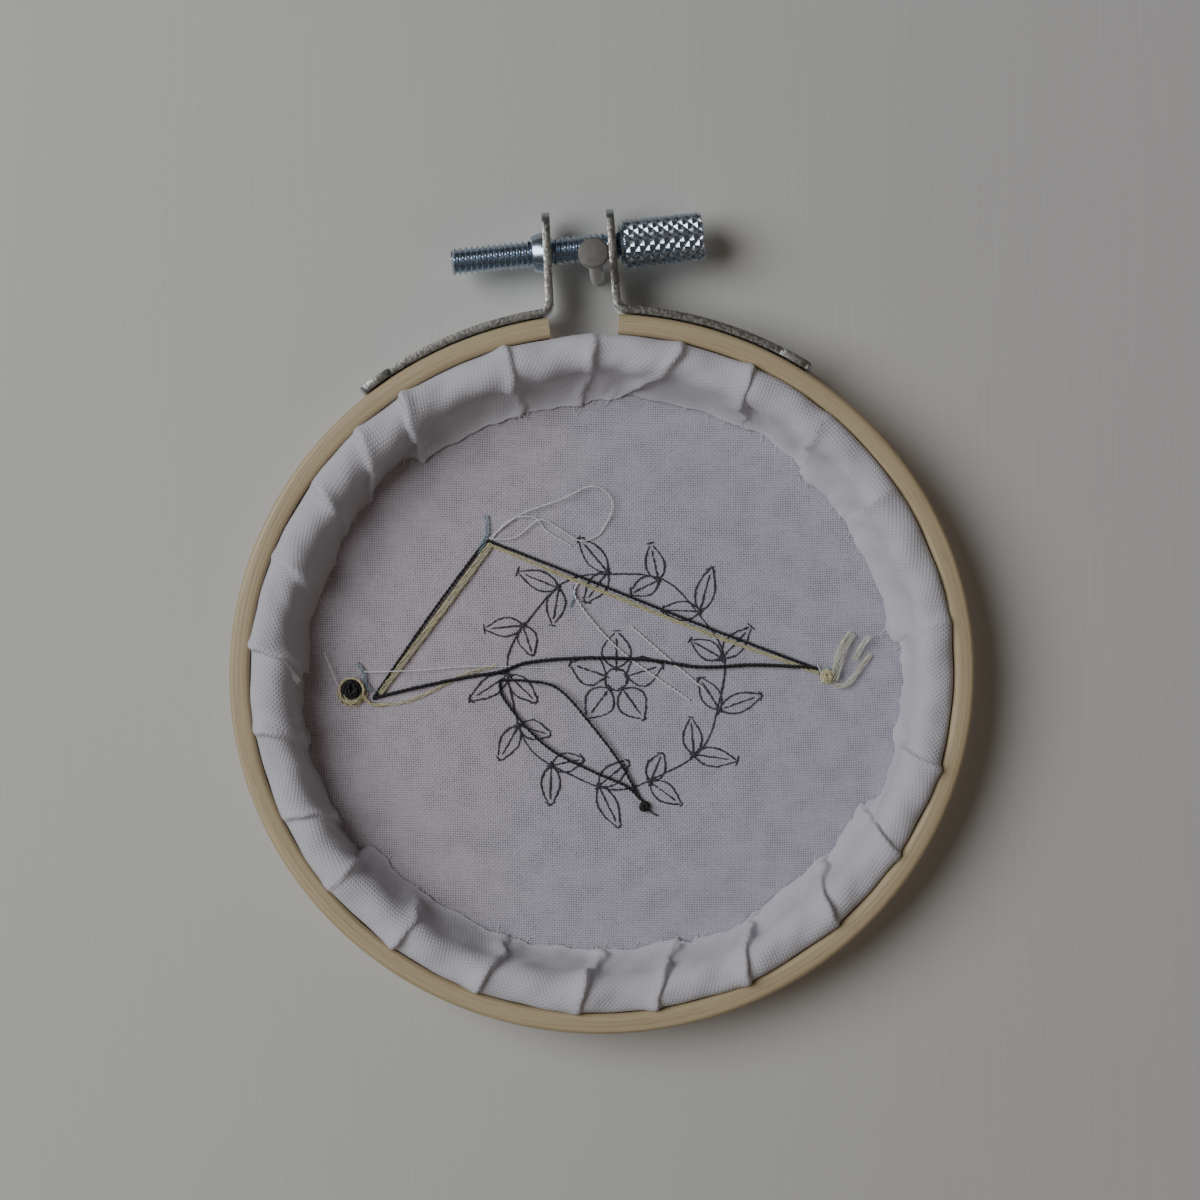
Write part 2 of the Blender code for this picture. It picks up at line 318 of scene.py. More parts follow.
# %% The wall's paint, and the wall
def wall_paint():
    paint = Finish("wall_paint", roughness=0.62)
    here = paint.place()
    streaks = paint.noise(here, 1.6, 3, (1, 1, 0.035))
    # painted shade: the paint darkens and turns a little purple towards the right, for the fall-off of the
    # left light across the wall; this noise only wavers that fall-off
    falloff_waver = paint.noise(here, 0.02, 2)
    across, _, _ = paint.parts(here)
    painted_falloff = paint.between(across + falloff_waver * 60 - 30, -85.0, 85.0)
    base = paint.mix(painted_falloff, rgb(0.50, 0.50, 0.47), rgb(0.44, 0.425, 0.425))
    paint.feed("Base Color", paint.mix(streaks * 0.35, base, rgb(0.52, 0.52, 0.50)))
    paint.bump(streaks, 0.05 * MM, 0.5)
    clear = paint.node("ShaderNodeBsdfTransparent")
    behind = paint.node("ShaderNodeNewGeometry").output("Backfacing")
    shadow = paint.node("ShaderNodeLightPath").output("Is Shadow Ray")
    unseen = paint.math("MAXIMUM", behind, shadow)
    solid = Value(paint, paint.shader.outputs[0])
    shown = paint.node("ShaderNodeMixShader", None, {0: unseen, 1: solid, 2: clear})
    paint.tree.links.new(shown.socket, paint.tree.nodes["Material Output"].inputs["Surface"])
    return paint.material


def wall(half=1.5):
    corners = [(-half, 0, -half), (half, 0, -half), (half, 0, half), (-half, 0, half)]
    mesh = bpy.data.meshes.new("wall")
    mesh.from_pydata(corners, [], [(0, 1, 2, 3)])
    mesh.materials.append(wall_paint())
    board = bpy.data.objects.new("wall", mesh)
    scene.collection.objects.link(board)
    return board


board = wall()
print("the wall faces", board.data.polygons[0].normal)

# %% [markdown]
# ## Skins from rows of points
# The rings, the cloth and the brackets are each a grid of points: one row after another along the
# piece, and one column after another round its section. One helper turns such a grid into a mesh
# with a UV map named pattern, in millimetres or in threads, so that grain and weave follow the piece.

# %% Skin helper
SHARP_ANGLE = radians(40)


def new_object(name, mesh, finish=None):
    if finish:
        mesh.materials.append(finish)
    made = bpy.data.objects.new(name, mesh)
    scene.collection.objects.link(made)
    return made


def settle(mesh):
    """Merges points that coincide and turns every face outwards."""
    work = bmesh.new()
    work.from_mesh(mesh)
    bmesh.ops.remove_doubles(work, verts=work.verts, dist=0.0001 * MM)
    bmesh.ops.recalc_face_normals(work, faces=work.faces)
    work.to_mesh(mesh)
    work.free()


def skin(name, points, pattern, finish, loop_rows=False, loop_columns=False, capped=False):
    """A mesh over points[row, column]. pattern(row, column, face) gives a corner's place on the map."""
    rows, columns = points.shape[:2]
    down, along = np.arange(rows - (not loop_rows)), np.arange(columns - (not loop_columns))
    face = np.meshgrid(down, along, indexing="ij")
    corners = [(face[0] + r, face[1] + c) for r, c in ((0, 0), (0, 1), (1, 1), (1, 0))]
    faces = np.stack([(r % rows) * columns + c % columns for r, c in corners], -1).reshape(-1, 4)
    ends = [list(range(columns)), list(range((rows - 1) * columns, rows * columns))]
    mesh = bpy.data.meshes.new(name)
    mesh.from_pydata(points.reshape(-1, 3).tolist(), [], faces.tolist() + (ends if capped else []))
    places = np.stack([pattern(r, c, face) for r, c in corners], axis=2).reshape(-1, 2)
    spare = np.zeros((len(mesh.loops) - len(places), 2))
    layer = mesh.uv_layers.new(name="pattern")
    layer.data.foreach_set("uv", np.concatenate([places, spare]).ravel())
    return new_object(name, mesh, finish)


def smooth(obj, angle=SHARP_ANGLE):
    obj.data.shade_smooth()
    obj.data.set_sharp_from_angle(angle=angle)
    return obj


def lengths(points):
    """Distance along a row of points, starting at 0."""
    steps = np.linalg.norm(np.diff(points, axis=0), axis=-1)
    return np.concatenate([[0], np.cumsum(steps)])


def rounded_section(outside, inside, front, back, corner, steps=4):
    """A ring's section with rounded corners, as (inset, y) points in order."""
    found = []
    middles = (
        (outside + corner, back + corner, 180),
        (inside - corner, back + corner, 270),
        (inside - corner, front - corner, 0),
        (outside + corner, front - corner, 90),
    )
    for inset, y, start in middles:
        for i in range(steps + 1):
            a = radians(start + 90 * i / steps)
            found.append((inset + corner * cos(a), y + corner * sin(a)))
    return np.array(found)


def band(name, section, angles, finish, closed):
    """A ring or part of one: a section, as (inset, y) points, carried round the hoop."""
    points = on_hoop(angles[:, None], section[None, :, 0], section[None, :, 1])
    girth = lengths(np.concatenate([section, section[:1]]))
    run = HALF_WIDE * (angles - angles[0])
    step = run[1]

    def pattern(row, column, _):
        return np.stack([row * step, girth[column]], -1) / MM

    made = skin(name, points, pattern, finish, loop_rows=closed, loop_columns=True, capped=not closed)
    settle(made.data)
    return smooth(made)


print("skins are ready")

# %% [markdown]
# ## Bamboo rings
# Both rings are strips of bamboo, steamed, bent and glued: the inner one closed, the outer one split
# at the top for the clamp. A strip's fibres run along it, so the grain is noise stretched far out
# along the ring and kept fine across it. Sweeping a rounded section round the oval gives the ring;
# a spun torus would not have flat sides. The inner ring is wrapped in the cloth all over, and plain.

# %% Bamboo
def bamboo():
    wood = Finish("bamboo", roughness=0.52)
    along = wood.pattern()
    fibres = wood.noise(along, 1.0, 4, (0.035, 3.2, 1))
    bands = wood.noise(along, 1.0, 2, (0.02, 0.7, 1))
    flecks = wood.between(wood.noise(along, 1.0, 1, (0.22, 5.5, 1)), 0.62, 0.74)
    pale = wood.mix(bands, rgb(0.40, 0.31, 0.185), rgb(0.50, 0.405, 0.255))
    grained = wood.mix(wood.between(fibres, 0.35, 0.72) * 0.55, pale, rgb(0.29, 0.215, 0.12))
    wood.feed("Base Color", wood.mix(flecks * 0.4, grained, rgb(0.27, 0.19, 0.11)))
    wood.feed("Roughness", fibres * 0.3 + 0.38)
    wood.bump(fibres + flecks * -0.5, 0.06 * MM, 0.7)
    return wood.material


RING_STEPS = 240
SPLIT_HALF = 5.05 * MM
RING_CORNER = 0.75 * MM

bamboo_finish = bamboo()
split = np.arcsin(SPLIT_HALF / HALF_WIDE)
outer_angles = np.linspace(split, 2 * pi - split, RING_STEPS)
outer_section = rounded_section(0, OUTER_THICK, RING_FRONT, RING_BACK, RING_CORNER)
outer_ring = band("outer_ring_bamboo", outer_section, outer_angles, bamboo_finish, closed=False)
print("outer ring:", len(outer_ring.data.polygons), "faces")

# %% Inner ring
INNER_THICK = 3.0 * MM
inner_section = rounded_section(
    INNER_SIDE_INSET, INNER_SIDE_INSET + INNER_THICK, ring_high.y, ring_low.y, 0.6 * MM, 2
)
inner_angles = np.linspace(0, 2 * pi, RING_STEPS // 2, endpoint=False)
inner_ring = band("inner_ring_bamboo", inner_section, inner_angles, bamboo_finish, closed=True)
print("inner ring:", len(inner_ring.data.polygons), "faces")

# %% [markdown]
# ## The cloth
# One round of plain-woven cotton covers the dish, turns up between the rings, rolls over the inner
# ring's back and is tucked inside, where its raw edge lies loose on the back of the stitched face.
# A flat round can't turn inwards without slack, and the slack is taken up in pleats: folds that lean
# over to one side, each crossing the rim and running down to the raw edge.
#
# The cloth is a grid. Its columns run along the profile, from the middle of the dish to the raw edge,
# and its rows go round the hoop, closer together at the pleats and swept along with them. A pleat is a
# ridge with one steep side and one long slope, pushed sideways until its crest hangs over. So the laps
# are real geometry with real gaps, and the grid stays one simple sheet with even quads.

# %% The pleats, one row each
# angle and sweep in degrees clockwise, from the rim to the raw edge; ridge height, half width and
# lean in millimetres, with the lean clockwise; and the raw edge's inset on the pleat's clockwise side
Pleat = namedtuple("Pleat", "angle sweep ridge width lean edge")
PLEATS = (
    Pleat(-31.0, -5.0, 1.35, 0.80, -0.95, 11.9),
    Pleat(-13.5, -1.0, 0.95, 0.60, 0.50, 12.3),
    Pleat(1.0, -2.5, 0.75, 0.75, 0.55, 11.7),
    Pleat(15.5, -9.0, 0.95, 0.75, 0.55, 10.8),
    Pleat(27.5, 3.0, 0.80, 0.60, 0.90, 10.5),
    Pleat(43.5, 3.0, 0.45, 1.50, -0.50, 11.2),
    Pleat(60.0, 1.0, 0.40, 1.60, -0.40, 11.1),
    Pleat(84.5, 2.5, 0.45, 0.90, -0.50, 9.4),
    Pleat(110.0, -3.0, 0.75, 0.70, -0.70, 8.8),
    Pleat(126.0, -5.0, 0.95, 0.60, -0.90, 10.3),
    Pleat(141.5, -7.0, 1.05, 0.60, -0.95, 10.6),
    Pleat(159.0, -7.0, 1.05, 0.60, -0.95, 10.0),
    Pleat(174.5, -7.0, 0.95, 0.55, -0.80, 11.1),
    Pleat(187.5, -4.0, 1.05, 0.60, -0.85, 10.9),
    Pleat(204.5, -3.0, 1.05, 0.60, -0.85, 10.8),
    Pleat(220.0, 1.0, 0.95, 0.65, -0.70, 10.8),
    Pleat(234.5, 1.0, 0.60, 0.70, -0.50, 8.6),
    Pleat(248.5, -6.0, 0.90, 0.80, -0.80, 8.8),
    Pleat(264.0, -5.0, 0.90, 0.80, -0.80, 9.4),
    Pleat(278.5, -5.0, 1.15, 0.70, -1.00, 10.3),
    Pleat(294.0, -5.0, 0.85, 0.90, -0.80, 10.4),
    Pleat(308.0, -4.5, 0.80, 0.90, -0.70, 10.2),
    Pleat(319.5, -8.0, 0.95, 0.90, -0.80, 9.6),
)
pleat_angles = np.array([p.angle for p in PLEATS])
print(len(PLEATS), "pleats take up the slack")

# %% [markdown]
# ### Rows, swept with the pleats
# The rows are spread by a density that rises at each pleat, so the steep sides get fine faces and
# the smooth panels between them don't waste any.

# %% Row angles, sweeps and raw edge
CLOTH_ROWS = 700
PLEAT_REACH = 2.4
PLEAT_DENSITY = 3.4
EDGE_STEP = 0.7


def around(values, angles):
    """Values given at the pleats, run on round the hoop and read at other angles."""
    turns = np.concatenate([pleat_angles - 360, pleat_angles, pleat_angles + 360])
    return np.interp(angles, turns, np.tile(values, 3))


def off_by(angles, other):
    """How far angles are clockwise of another angle, from -180 to 180 degrees."""
    return (angles - other + 180) % 360 - 180


def spread_rows(count):
    fine = np.linspace(0, 360, 7200, endpoint=False) + pleat_angles[0]
    density = np.ones_like(fine)
    for pleat in PLEATS:
        density += PLEAT_DENSITY * np.exp(-((off_by(fine, pleat.angle) / PLEAT_REACH) ** 2))
    total = np.concatenate([[0], np.cumsum(density)])
    wanted = np.arange(count) * total[-1] / count
    return np.interp(wanted, total, np.append(fine, fine[0] + 360))


def edge_insets(angles):
    """The raw edge's inset at each row, stepping at the pleats and wavering a little between."""
    found = np.zeros_like(angles)
    for before, after in zip(PLEATS, PLEATS[1:] + PLEATS[:1]):
        span = (after.angle - before.angle) % 360
        here = (angles - before.angle) % 360
        inside = here < span
        rise = 1 / (1 + np.exp(-(span - here) / EDGE_STEP))
        start = 1 / (1 + np.exp(-here / EDGE_STEP))
        level = before.edge * (start * rise) + after.edge * (1 - rise) + before.edge * (1 - start)
        found = np.where(inside, level, found)
    turn = radians(1) * angles
    waver = 0.2 * np.sin(17 * turn + 1) + 0.16 * np.sin(41 * turn)
    waver += 0.12 * np.sin(97 * turn + 2) * np.sin(5 * turn)
    return (found + waver) * MM


row_angles = spread_rows(CLOTH_ROWS)
row_sweeps = around([p.sweep for p in PLEATS], row_angles)
row_edges = edge_insets(row_angles)
print(f"rows {np.diff(row_angles).min():.2f} to {np.diff(row_angles).max():.2f} degrees apart")

# %% [markdown]
# ### The profile
# A handful of stations describe the way of the cloth over the inner ring: (inset, depth) and how much
# of a pleat's ridge shows there. The last ones slide in or out with the raw edge. A Catmull-Rom curve
# through the stations is read at a few points each.

# %% Stations and the curve through them
CLOTH_THICK = 0.34 * MM
DRUM_Y = ring_high.y + 0.75 * MM
WALL_INSET = 8.2
SHORTEST_LIP = 0.35
Station = namedtuple("Station", "inset along y ridge")
STATIONS = (
    Station(5.1, 0, -1.75, 0),
    Station(4.2, 0, -1.95, 0),
    Station(3.55, 0, -2.8, 0),
    Station(3.3, 0, -5.6, 0),
    Station(3.22, 0, -8.3, 0.06),
    Station(3.2, 0, -9.5, 0.36),
    Station(3.75, 0, -10.3, 0.85),
    Station(4.9, 0, -10.72, 1),
    Station(6.2, 0, -10.7, 1),
    Station(7.3, 0, -10.05, 1),
    Station(7.95, 0, -8.8, 1),
    Station(WALL_INSET, 0.0, -7.0, 0.95),
    Station(WALL_INSET, 0.2, -5.2, 0.85),
    Station(WALL_INSET, 0.48, -3.5, 0.65),
    Station(WALL_INSET, 0.78, -2.45, 0.5),
    Station(WALL_INSET, 1.0, -2.12, 0.3),
)
READINGS = 4


def curve_through(stations, readings):
    """Catmull-Rom through stations[..., n, k], read at equal steps of each span."""
    first, last = stations[..., :1, :], stations[..., -1:, :]
    padded = np.concatenate([2 * first - stations[..., 1:2, :], stations, last], axis=-2)
    found = []
    for span in range(stations.shape[-2] - 1):
        a, b, c, d = (padded[..., span + i, :] for i in range(4))
        for i in range(readings):
            t = i / readings
            rise = (c - a) * t
            bend = (2 * a - 5 * b + 4 * c - d) * t**2
            swing = (3 * b - a - 3 * c + d) * t**3
            found.append(0.5 * (2 * b + rise + bend + swing))
    return np.stack(found + [stations[..., -1, :]], axis=-2)


lip_runs = np.maximum(row_edges / MM - WALL_INSET, SHORTEST_LIP)
stations = np.array([[(s.inset + s.along * run, s.y, s.ridge) for s in STATIONS] for run in lip_runs])
profiles = curve_through(stations, READINGS)
profiles[..., :2] *= MM
insets, depths, shares = np.moveaxis(profiles, -1, 0)
print("profile of", insets.shape[1], "points for each of", insets.shape[0], "rows")

# %% [markdown]
# ### Pleats and puffs
# Each pleat pushes the cloth out along the profile's normal and sideways along its lean. Between the
# pleats, a few slow waves keep the roll from looking turned on a lathe.

# %% Raise the pleats
TRAIL = 3.2
STEEP = 1.3
CREST_HALF = 0.8
LAP_SHARE = 0.6
CREST_SHARE = 0.6
SHIFT_SHARE = 0.75
RIM_SHARE = 0.45
Wave = namedtuple("Wave", "turns slant phase height")
WAVES = (
    Wave(9, 1.5, 0.3, 0.18),
    Wave(14, -2.0, 2.1, 0.18),
    Wave(23, 3.0, 4.0, 0.15),
    Wave(37, -4.0, 1.2, 0.12),
    Wave(61, 5.0, 5.1, 0.06),
)

share_down = np.linspace(0, 1, insets.shape[1])[None, :]
steps = np.gradient(np.stack([insets, depths], -1), axis=1)
steps /= np.linalg.norm(steps, axis=-1, keepdims=True)
down_roll = np.clip((share_down - RIM_SHARE) / (1 - RIM_SHARE), 0, 1)
swept = row_angles[:, None] + row_sweeps[:, None] * down_roll
radius = HALF_WIDE - insets
raised = np.zeros_like(insets)
shifted = np.zeros_like(insets)
for i, pleat in enumerate(PLEATS):
    away = radians(1) * off_by(row_angles, pleat.angle)[:, None] * radius / MM
    waver = 0.75 * np.sin(14 * share_down + 2.1 * i) + 0.42 * np.sin(37 * share_down + 5.3 * i)
    ahead = away * np.sign(pleat.lean) - waver * down_roll
    steep = np.exp(-((ahead / (STEEP * pleat.width)) ** 2))
    slope = np.exp(-(np.abs(ahead / (TRAIL * pleat.width)) ** 1.5))
    crest = np.exp(-((ahead / CREST_HALF) ** 2)) * (0.6 + 0.4 * np.sin(19 * share_down + 1.7 * i))
    lap = LAP_SHARE * np.where(ahead > 0, steep, slope) + CREST_SHARE * crest
    raised += pleat.ridge * MM * lap * shares
    shifted += SHIFT_SHARE * pleat.lean * MM * np.where(ahead > 0, steep, slope**2) * shares
for wave in WAVES:
    turn = radians(1) * row_angles[:, None] * wave.turns + wave.slant * share_down * pi + wave.phase
    raised += wave.height * MM * np.sin(turn) * np.clip(shares, 0, 1)
roll_insets = insets + steps[..., 1] * raised
roll_depths = depths - steps[..., 0] * raised
roll_angles = np.radians(swept) + shifted / radius
roll = on_hoop(roll_angles, roll_insets, roll_depths)
print(f"pleats stand up to {raised.max() / MM:.2f} mm proud")

# %% The stretched dish
DRUM_ROWS = 9


def drum_depth(x, z):
    """Depth of the stretched face at a place: nearly flat, with slow waves."""
    u, v = (x - hoop_centre.x) / MM, (z - hoop_centre.z) / MM
    return DRUM_Y + 0.05 * MM * (np.sin(u / 7 + 1) * np.cos(v / 9) + 0.6 * np.sin(u / 13 - v / 6))


fan = np.linspace(0, 1, DRUM_ROWS, endpoint=False)
rim = roll[:, :1, :]
middle = np.array(hoop_centre)
drum = middle + (rim - middle) * fan[None, :, None]
ease = (1 - fan**6)[None, :]
drum[..., 1] = drum_depth(drum[..., 0], drum[..., 2]) * ease + rim[..., 1] * (1 - ease)
cloth_points = np.concatenate([drum, roll], axis=1)
print("cloth grid", cloth_points.shape)

# %% [markdown]
# ### Weave coordinates
# The weave is drawn by the material, so the cloth needs a map that is true to its threads. On the
# dish the threads run upright and level, with the slight bow that stretching gives. Beyond the rim
# the cloth is turned over, so its grain comes out mirrored: each panel between two pleats gets the
# flat cloth's own coordinates, laid out from the panel's middle. One unit of the map is one thread.

# %% The cloth's mesh
THREAD_PITCH = 0.34
columns_in_dish = DRUM_ROWS + 2 * READINGS
row_count = len(row_angles)
row_turns = np.append(row_angles, row_angles[0] + 360) - pleat_angles[0]
panel_starts = np.searchsorted(pleat_angles - pleat_angles[0], row_turns, side="right") - 1
panel_middles = (pleat_angles + np.append(pleat_angles[1:], pleat_angles[0] + 360)) / 2


def bowed(x, z):
    """Thread counts on the dish, with the bow of a stretched cloth."""
    u, v = (x - hoop_centre.x) / MM, (z - hoop_centre.z) / MM
    return np.stack([u + 0.5 * np.sin(v / 15) + 0.012 * v, v + 0.6 * np.sin(u / 17 + 0.6)], -1) / THREAD_PITCH


def cloth_pattern(row, column, face):
    wrapped = row % row_count
    place = cloth_points[wrapped, column]
    middle = panel_middles[panel_starts[face[0]] % len(PLEATS)]
    roll_column = np.maximum(column - DRUM_ROWS, 0)
    turn = (row // row_count) * 360
    angle = np.degrees(roll_angles[wrapped, roll_column]) + turn - middle
    along = np.radians(angle) * radius[wrapped, roll_column] / MM
    out = profile_run[roll_column] + HALF_WIDE / MM
    heading = np.radians(middle) - HANG_TILT
    folded = np.stack(
        [out * np.sin(heading) + along * np.cos(heading), out * np.cos(heading) - along * np.sin(heading)], -1
    )
    on_dish = (face[1] < columns_in_dish)[..., None]
    return np.where(on_dish, bowed(place[..., 0], place[..., 2]), folded / THREAD_PITCH)


profile_run = lengths(np.stack([insets, depths], -1)[0]) / MM
cloth = skin("cloth_sheet", cloth_points, cloth_pattern, None, loop_rows=True)
single = np.broadcast_to(np.arange(cloth_points.shape[1]) < columns_in_dish, cloth_points.shape[:2])
layer = cloth.data.attributes.new("single", "FLOAT", "POINT")
layer.data.foreach_set("value", single.astype(np.float32).ravel())
work = bmesh.new()
work.from_mesh(cloth.data)
bmesh.ops.remove_doubles(work, verts=work.verts, dist=0.001 * MM)
work.to_mesh(cloth.data)
work.free()
cloth.data.shade_smooth()
thickness = cloth.modifiers.new("thickness", "SOLIDIFY")
thickness.thickness = CLOTH_THICK
thickness.offset = 0
print("cloth:", len(cloth.data.polygons), "faces before it gets its thickness")

# %% [markdown]
# ### White cotton
# Plain weave at three threads to the millimetre. The map counts threads, so a cosine of it is a thread
# and the gaps between four threads are where two cosines meet. The gaps are painted dark: painted shade,
# for the shaded wall seen through the open weave. Each gap is a little different, because
# hand-stretched cloth opens unevenly. Where the cloth is turned over the gaps close up. The face
# drifts from a warmer white at the left to a cooler one at the right.

# %% Cotton
def cotton():
    cloth = Finish("white_cotton", roughness=0.85, sheen_weight=0.25, sheen_roughness=0.5)
    threads = cloth.pattern()
    u, v, _ = cloth.parts(threads)
    single = cloth.node("ShaderNodeAttribute", {"attribute_name": "single"}, out=2)
    jitter = cloth.noise(threads, 0.55, 1)
    slack = cloth.noise(threads, 0.09, 2)
    gap_u = cloth.math("COSINE", u * (2 * pi) + jitter * 1.6) * 0.5 + 0.5
    gap_v = cloth.math("COSINE", v * (2 * pi) + jitter * 1.6 + 1) * 0.5 + 0.5
    open_gap = (gap_u * gap_v) ** 0.9
    depth = cloth.between(slack, 0.34, 0.72) * 0.5 + cloth.between(jitter, 0.35, 0.7) * 0.4 + 0.34
    # painted shade: the gaps of the weave are darkened, for the shaded wall seen through them, mostly on the
    # single cloth of the dish
    gap_shade = open_gap * depth * (single * 0.85 + 0.15)
    warp = cloth.noise(threads, 1.0, 1, (0.9, 0.045, 1))
    weft = cloth.noise(threads, 1.0, 1, (0.045, 0.9, 1))
    slubs = cloth.between(warp * 0.5 + weft * 0.5, 0.35, 0.65)
    here = cloth.place()
    across, _, _ = cloth.parts(here)
    tint = cloth.between(cloth.noise(here, 0.03, 2) * 60 - across, 0, 90)
    cool, warm = rgb(0.435, 0.41, 0.50), rgb(0.50, 0.43, 0.47)
    turned_over, slubbed, shade_through_gaps = rgb(0.52, 0.505, 0.555), rgb(0.50, 0.48, 0.53), rgb(0.07, 0.06, 0.09)
    base = cloth.mix(single * 0.8, turned_over, cloth.mix(tint, cool, warm))
    woven = cloth.mix(slubs * 0.16, base, slubbed)
    cloth.feed("Base Color", cloth.mix(gap_shade, woven, shade_through_gaps))
    relief = cloth.math("SINE", u * pi) * cloth.math("SINE", v * pi)
    cloth.bump(relief - open_gap * 1.2 + slubs * 0.4, 0.05 * MM, 0.6)
    return cloth.material


cloth.data.materials.append(cotton())
print("cotton:", len(cloth.data.materials[0].node_tree.nodes), "nodes")

# %% [markdown]
# ## Growing pieces with Geometry Nodes
# Threads, stitches, fibres, the screw's thread and the knob's knurl all repeat or follow a path, so
# geometry nodes grow them. A tree is written once, with named inputs, and used for many pieces. Each
# use sets the inputs by their sockets' identifiers, reads the evaluated result as a plain mesh, and
# lets the source go.

# %% Tree and grow
SOCKETS = {"size": "NodeSocketFloat", "count": "NodeSocketInt", "material": "NodeSocketMaterial"}
Port = namedtuple("Port", "name kind")


def new_tree(name, ports):
    """An empty geometry tree, its Graph, its incoming geometry and its inputs by name."""
    tree = bpy.data.node_groups.new(name, "GeometryNodeTree")
    tree.interface.new_socket("Geometry", in_out="INPUT", socket_type="NodeSocketGeometry")
    for port in ports:
        tree.interface.new_socket(port.name, in_out="INPUT", socket_type=SOCKETS[port.kind])
    tree.interface.new_socket("Geometry", in_out="OUTPUT", socket_type="NodeSocketGeometry")
    graph = Graph(tree)
    start = graph.node("NodeGroupInput")
    return graph, start, {port.name: start.output(port.name) for port in ports}


def end_tree(graph, geometry, material):
    """Realizes the instances, sets the material and ends the tree."""
    real = graph.node("GeometryNodeRealizeInstances", None, {0: geometry})
    dressed = graph.node("GeometryNodeSetMaterial", None, {"Geometry": real, "Material": material})
    graph.node("NodeGroupOutput", None, {0: dressed})
    return graph.tree


def path_mesh(routes):
    """A mesh of bare edges along some routes, each a list of points."""
    points, edges = [], []
    for route in routes:
        edges += [(len(points) + i, len(points) + i + 1) for i in range(len(route) - 1)]
        points += [tuple(point) for point in route]
    mesh = bpy.data.meshes.new("paths")
    mesh.from_pydata(points, edges, [])
    return mesh


def grow(name, tree, mesh, values):
    """The tree's result on a mesh, as a plain mesh object."""
    source = new_object(name + "_source", mesh)
    modifier = source.modifiers.new("grow", "NODES")
    modifier.node_group = tree
    for item in tree.interface.items_tree:
        if item.in_out == "INPUT" and item.name in values:
            modifier[item.identifier] = values[item.name]
    graph = bpy.context.evaluated_depsgraph_get()
    grown = bpy.data.meshes.new_from_object(source.evaluated_get(graph), depsgraph=graph)
    grown.name = name
    bpy.data.objects.remove(source)
    bpy.data.meshes.remove(mesh)
    return new_object(name, grown)


print("geometry trees can be grown")

# %% [markdown]
# ## The clamp screw
# The screw is one piece of plated steel: a threaded shank, a plain shoulder and a knurled knob. Both
# the thread and the knurl are grooves cut along helices. A thread is one helix, and a diamond knurl
# is two sets of helices that cross. So one tree serves both: it wraps a grid round the axis and
# cuts two sets of V grooves into it. With both sets alike it makes a screw thread.

# %% Grooved bar tree
def grooved_bar_tree():
    sizes = ("Start", "Length", "Radius", "Depth", "Pitch", "Starts A", "Starts B", "Chamfer")
    ports = [Port(name, "size") for name in sizes]
    ports += [Port("Along", "count"), Port("Round", "count"), Port("Finish", "material")]
    graph, _, given = new_tree("Grooved bar", ports)
    grid = graph.node(
        "GeometryNodeMeshGrid",
        None,
        {"Size X": 1.0, "Size Y": 1.0, "Vertices X": given["Along"], "Vertices Y": given["Round"]},
    )
    x, y, _ = graph.parts(graph.node("GeometryNodeInputPosition"))
    turn = y + 0.5
    rows = given["Along"] - 1
    share = ((x + 0.5) * rows - 1) / (rows - 2)
    inside = graph.math("MINIMUM", graph.math("MAXIMUM", share, 0.0), 1.0)
    along = inside * given["Length"]

    def crest(starts):
        """1 on the crest and 0 in the groove of one set of helices."""
        phase = graph.math("FRACT", along / given["Pitch"] + turn * starts)
        return graph.math("ABSOLUTE", phase * 2 - 1)

    height = graph.math("MINIMUM", crest(given["Starts A"]), crest(given["Starts B"]))
    cut = given["Radius"] - given["Depth"] * (1 - height)
    from_end = graph.math("MINIMUM", along, given["Length"] - along)
    bevelled = graph.math("MINIMUM", cut, given["Radius"] - given["Chamfer"] + from_end)
    closed = graph.math("LESS_THAN", graph.math("ABSOLUTE", share - 0.5), 0.5001)
    radius = bevelled * closed
    angle = turn * (2 * pi)
    wrapped = graph.joined(
        along + given["Start"], radius * graph.math("COSINE", angle), radius * graph.math("SINE", angle)
    )
    placed = graph.node("GeometryNodeSetPosition", None, {"Geometry": grid, "Position": wrapped})
    merged = graph.node("GeometryNodeMergeByDistance", None, {"Geometry": placed, "Distance": 0.002 * MM})
    return end_tree(graph, merged, given["Finish"])


grooved_bar = grooved_bar_tree()
print("grooved bar tree:", len(grooved_bar.nodes), "nodes")

# %% [markdown]
# ### Plated steel
# Zinc plate is bright but not a mirror, slightly blue, with a cloudy bloom and darker places where
# dirt sits. The strip's sheared edges are rougher and browner than its rolled faces. Curvature can't
# be read in every renderer, so the edges are told by their facing: they look along y.

# %% Zinc plate
def zinc_plate(name, clean, worn, rough):
    plate = Finish(name, metallic=1.0)
    here = plate.place()
    bloom = plate.noise(here, 0.55, 3)
    grit = plate.between(plate.noise(here, 2.2, 3), 0.42, 0.62)
    normal = plate.node("ShaderNodeNewGeometry").output("Normal")
    _, side, _ = plate.parts(normal)
    edge = plate.between(plate.math("ABSOLUTE", side), 0.86, 0.98)
    face = plate.mix(bloom, rgb(*clean), rgb(*[c * 0.82 for c in clean]))
    sheared = plate.mix(grit, rgb(*[c * 1.15 for c in worn]), rgb(*[c * 0.7 for c in worn]))
    plate.feed("Base Color", plate.mix(edge, face, sheared))
    plate.feed("Roughness", bloom * 0.2 + edge * grit * 0.25 + rough)
    plate.bump(grit, 0.03 * MM, 0.35)
    return plate.material


strip_finish = zinc_plate("strip_zinc", (0.52, 0.58, 0.60), (0.33, 0.315, 0.295), 0.2)


def blue_zinc():
    plate = Finish("screw_zinc", metallic=1.0)
    bloom = plate.noise(plate.place(), 0.9, 2)
    plate.feed("Base Color", plate.mix(bloom, rgb(0.38, 0.49, 0.58), rgb(0.50, 0.54, 0.66)))
    plate.feed("Roughness", bloom * 0.12 + 0.2)
    return plate.material


screw_finish = blue_zinc()
print("zinc finishes made")

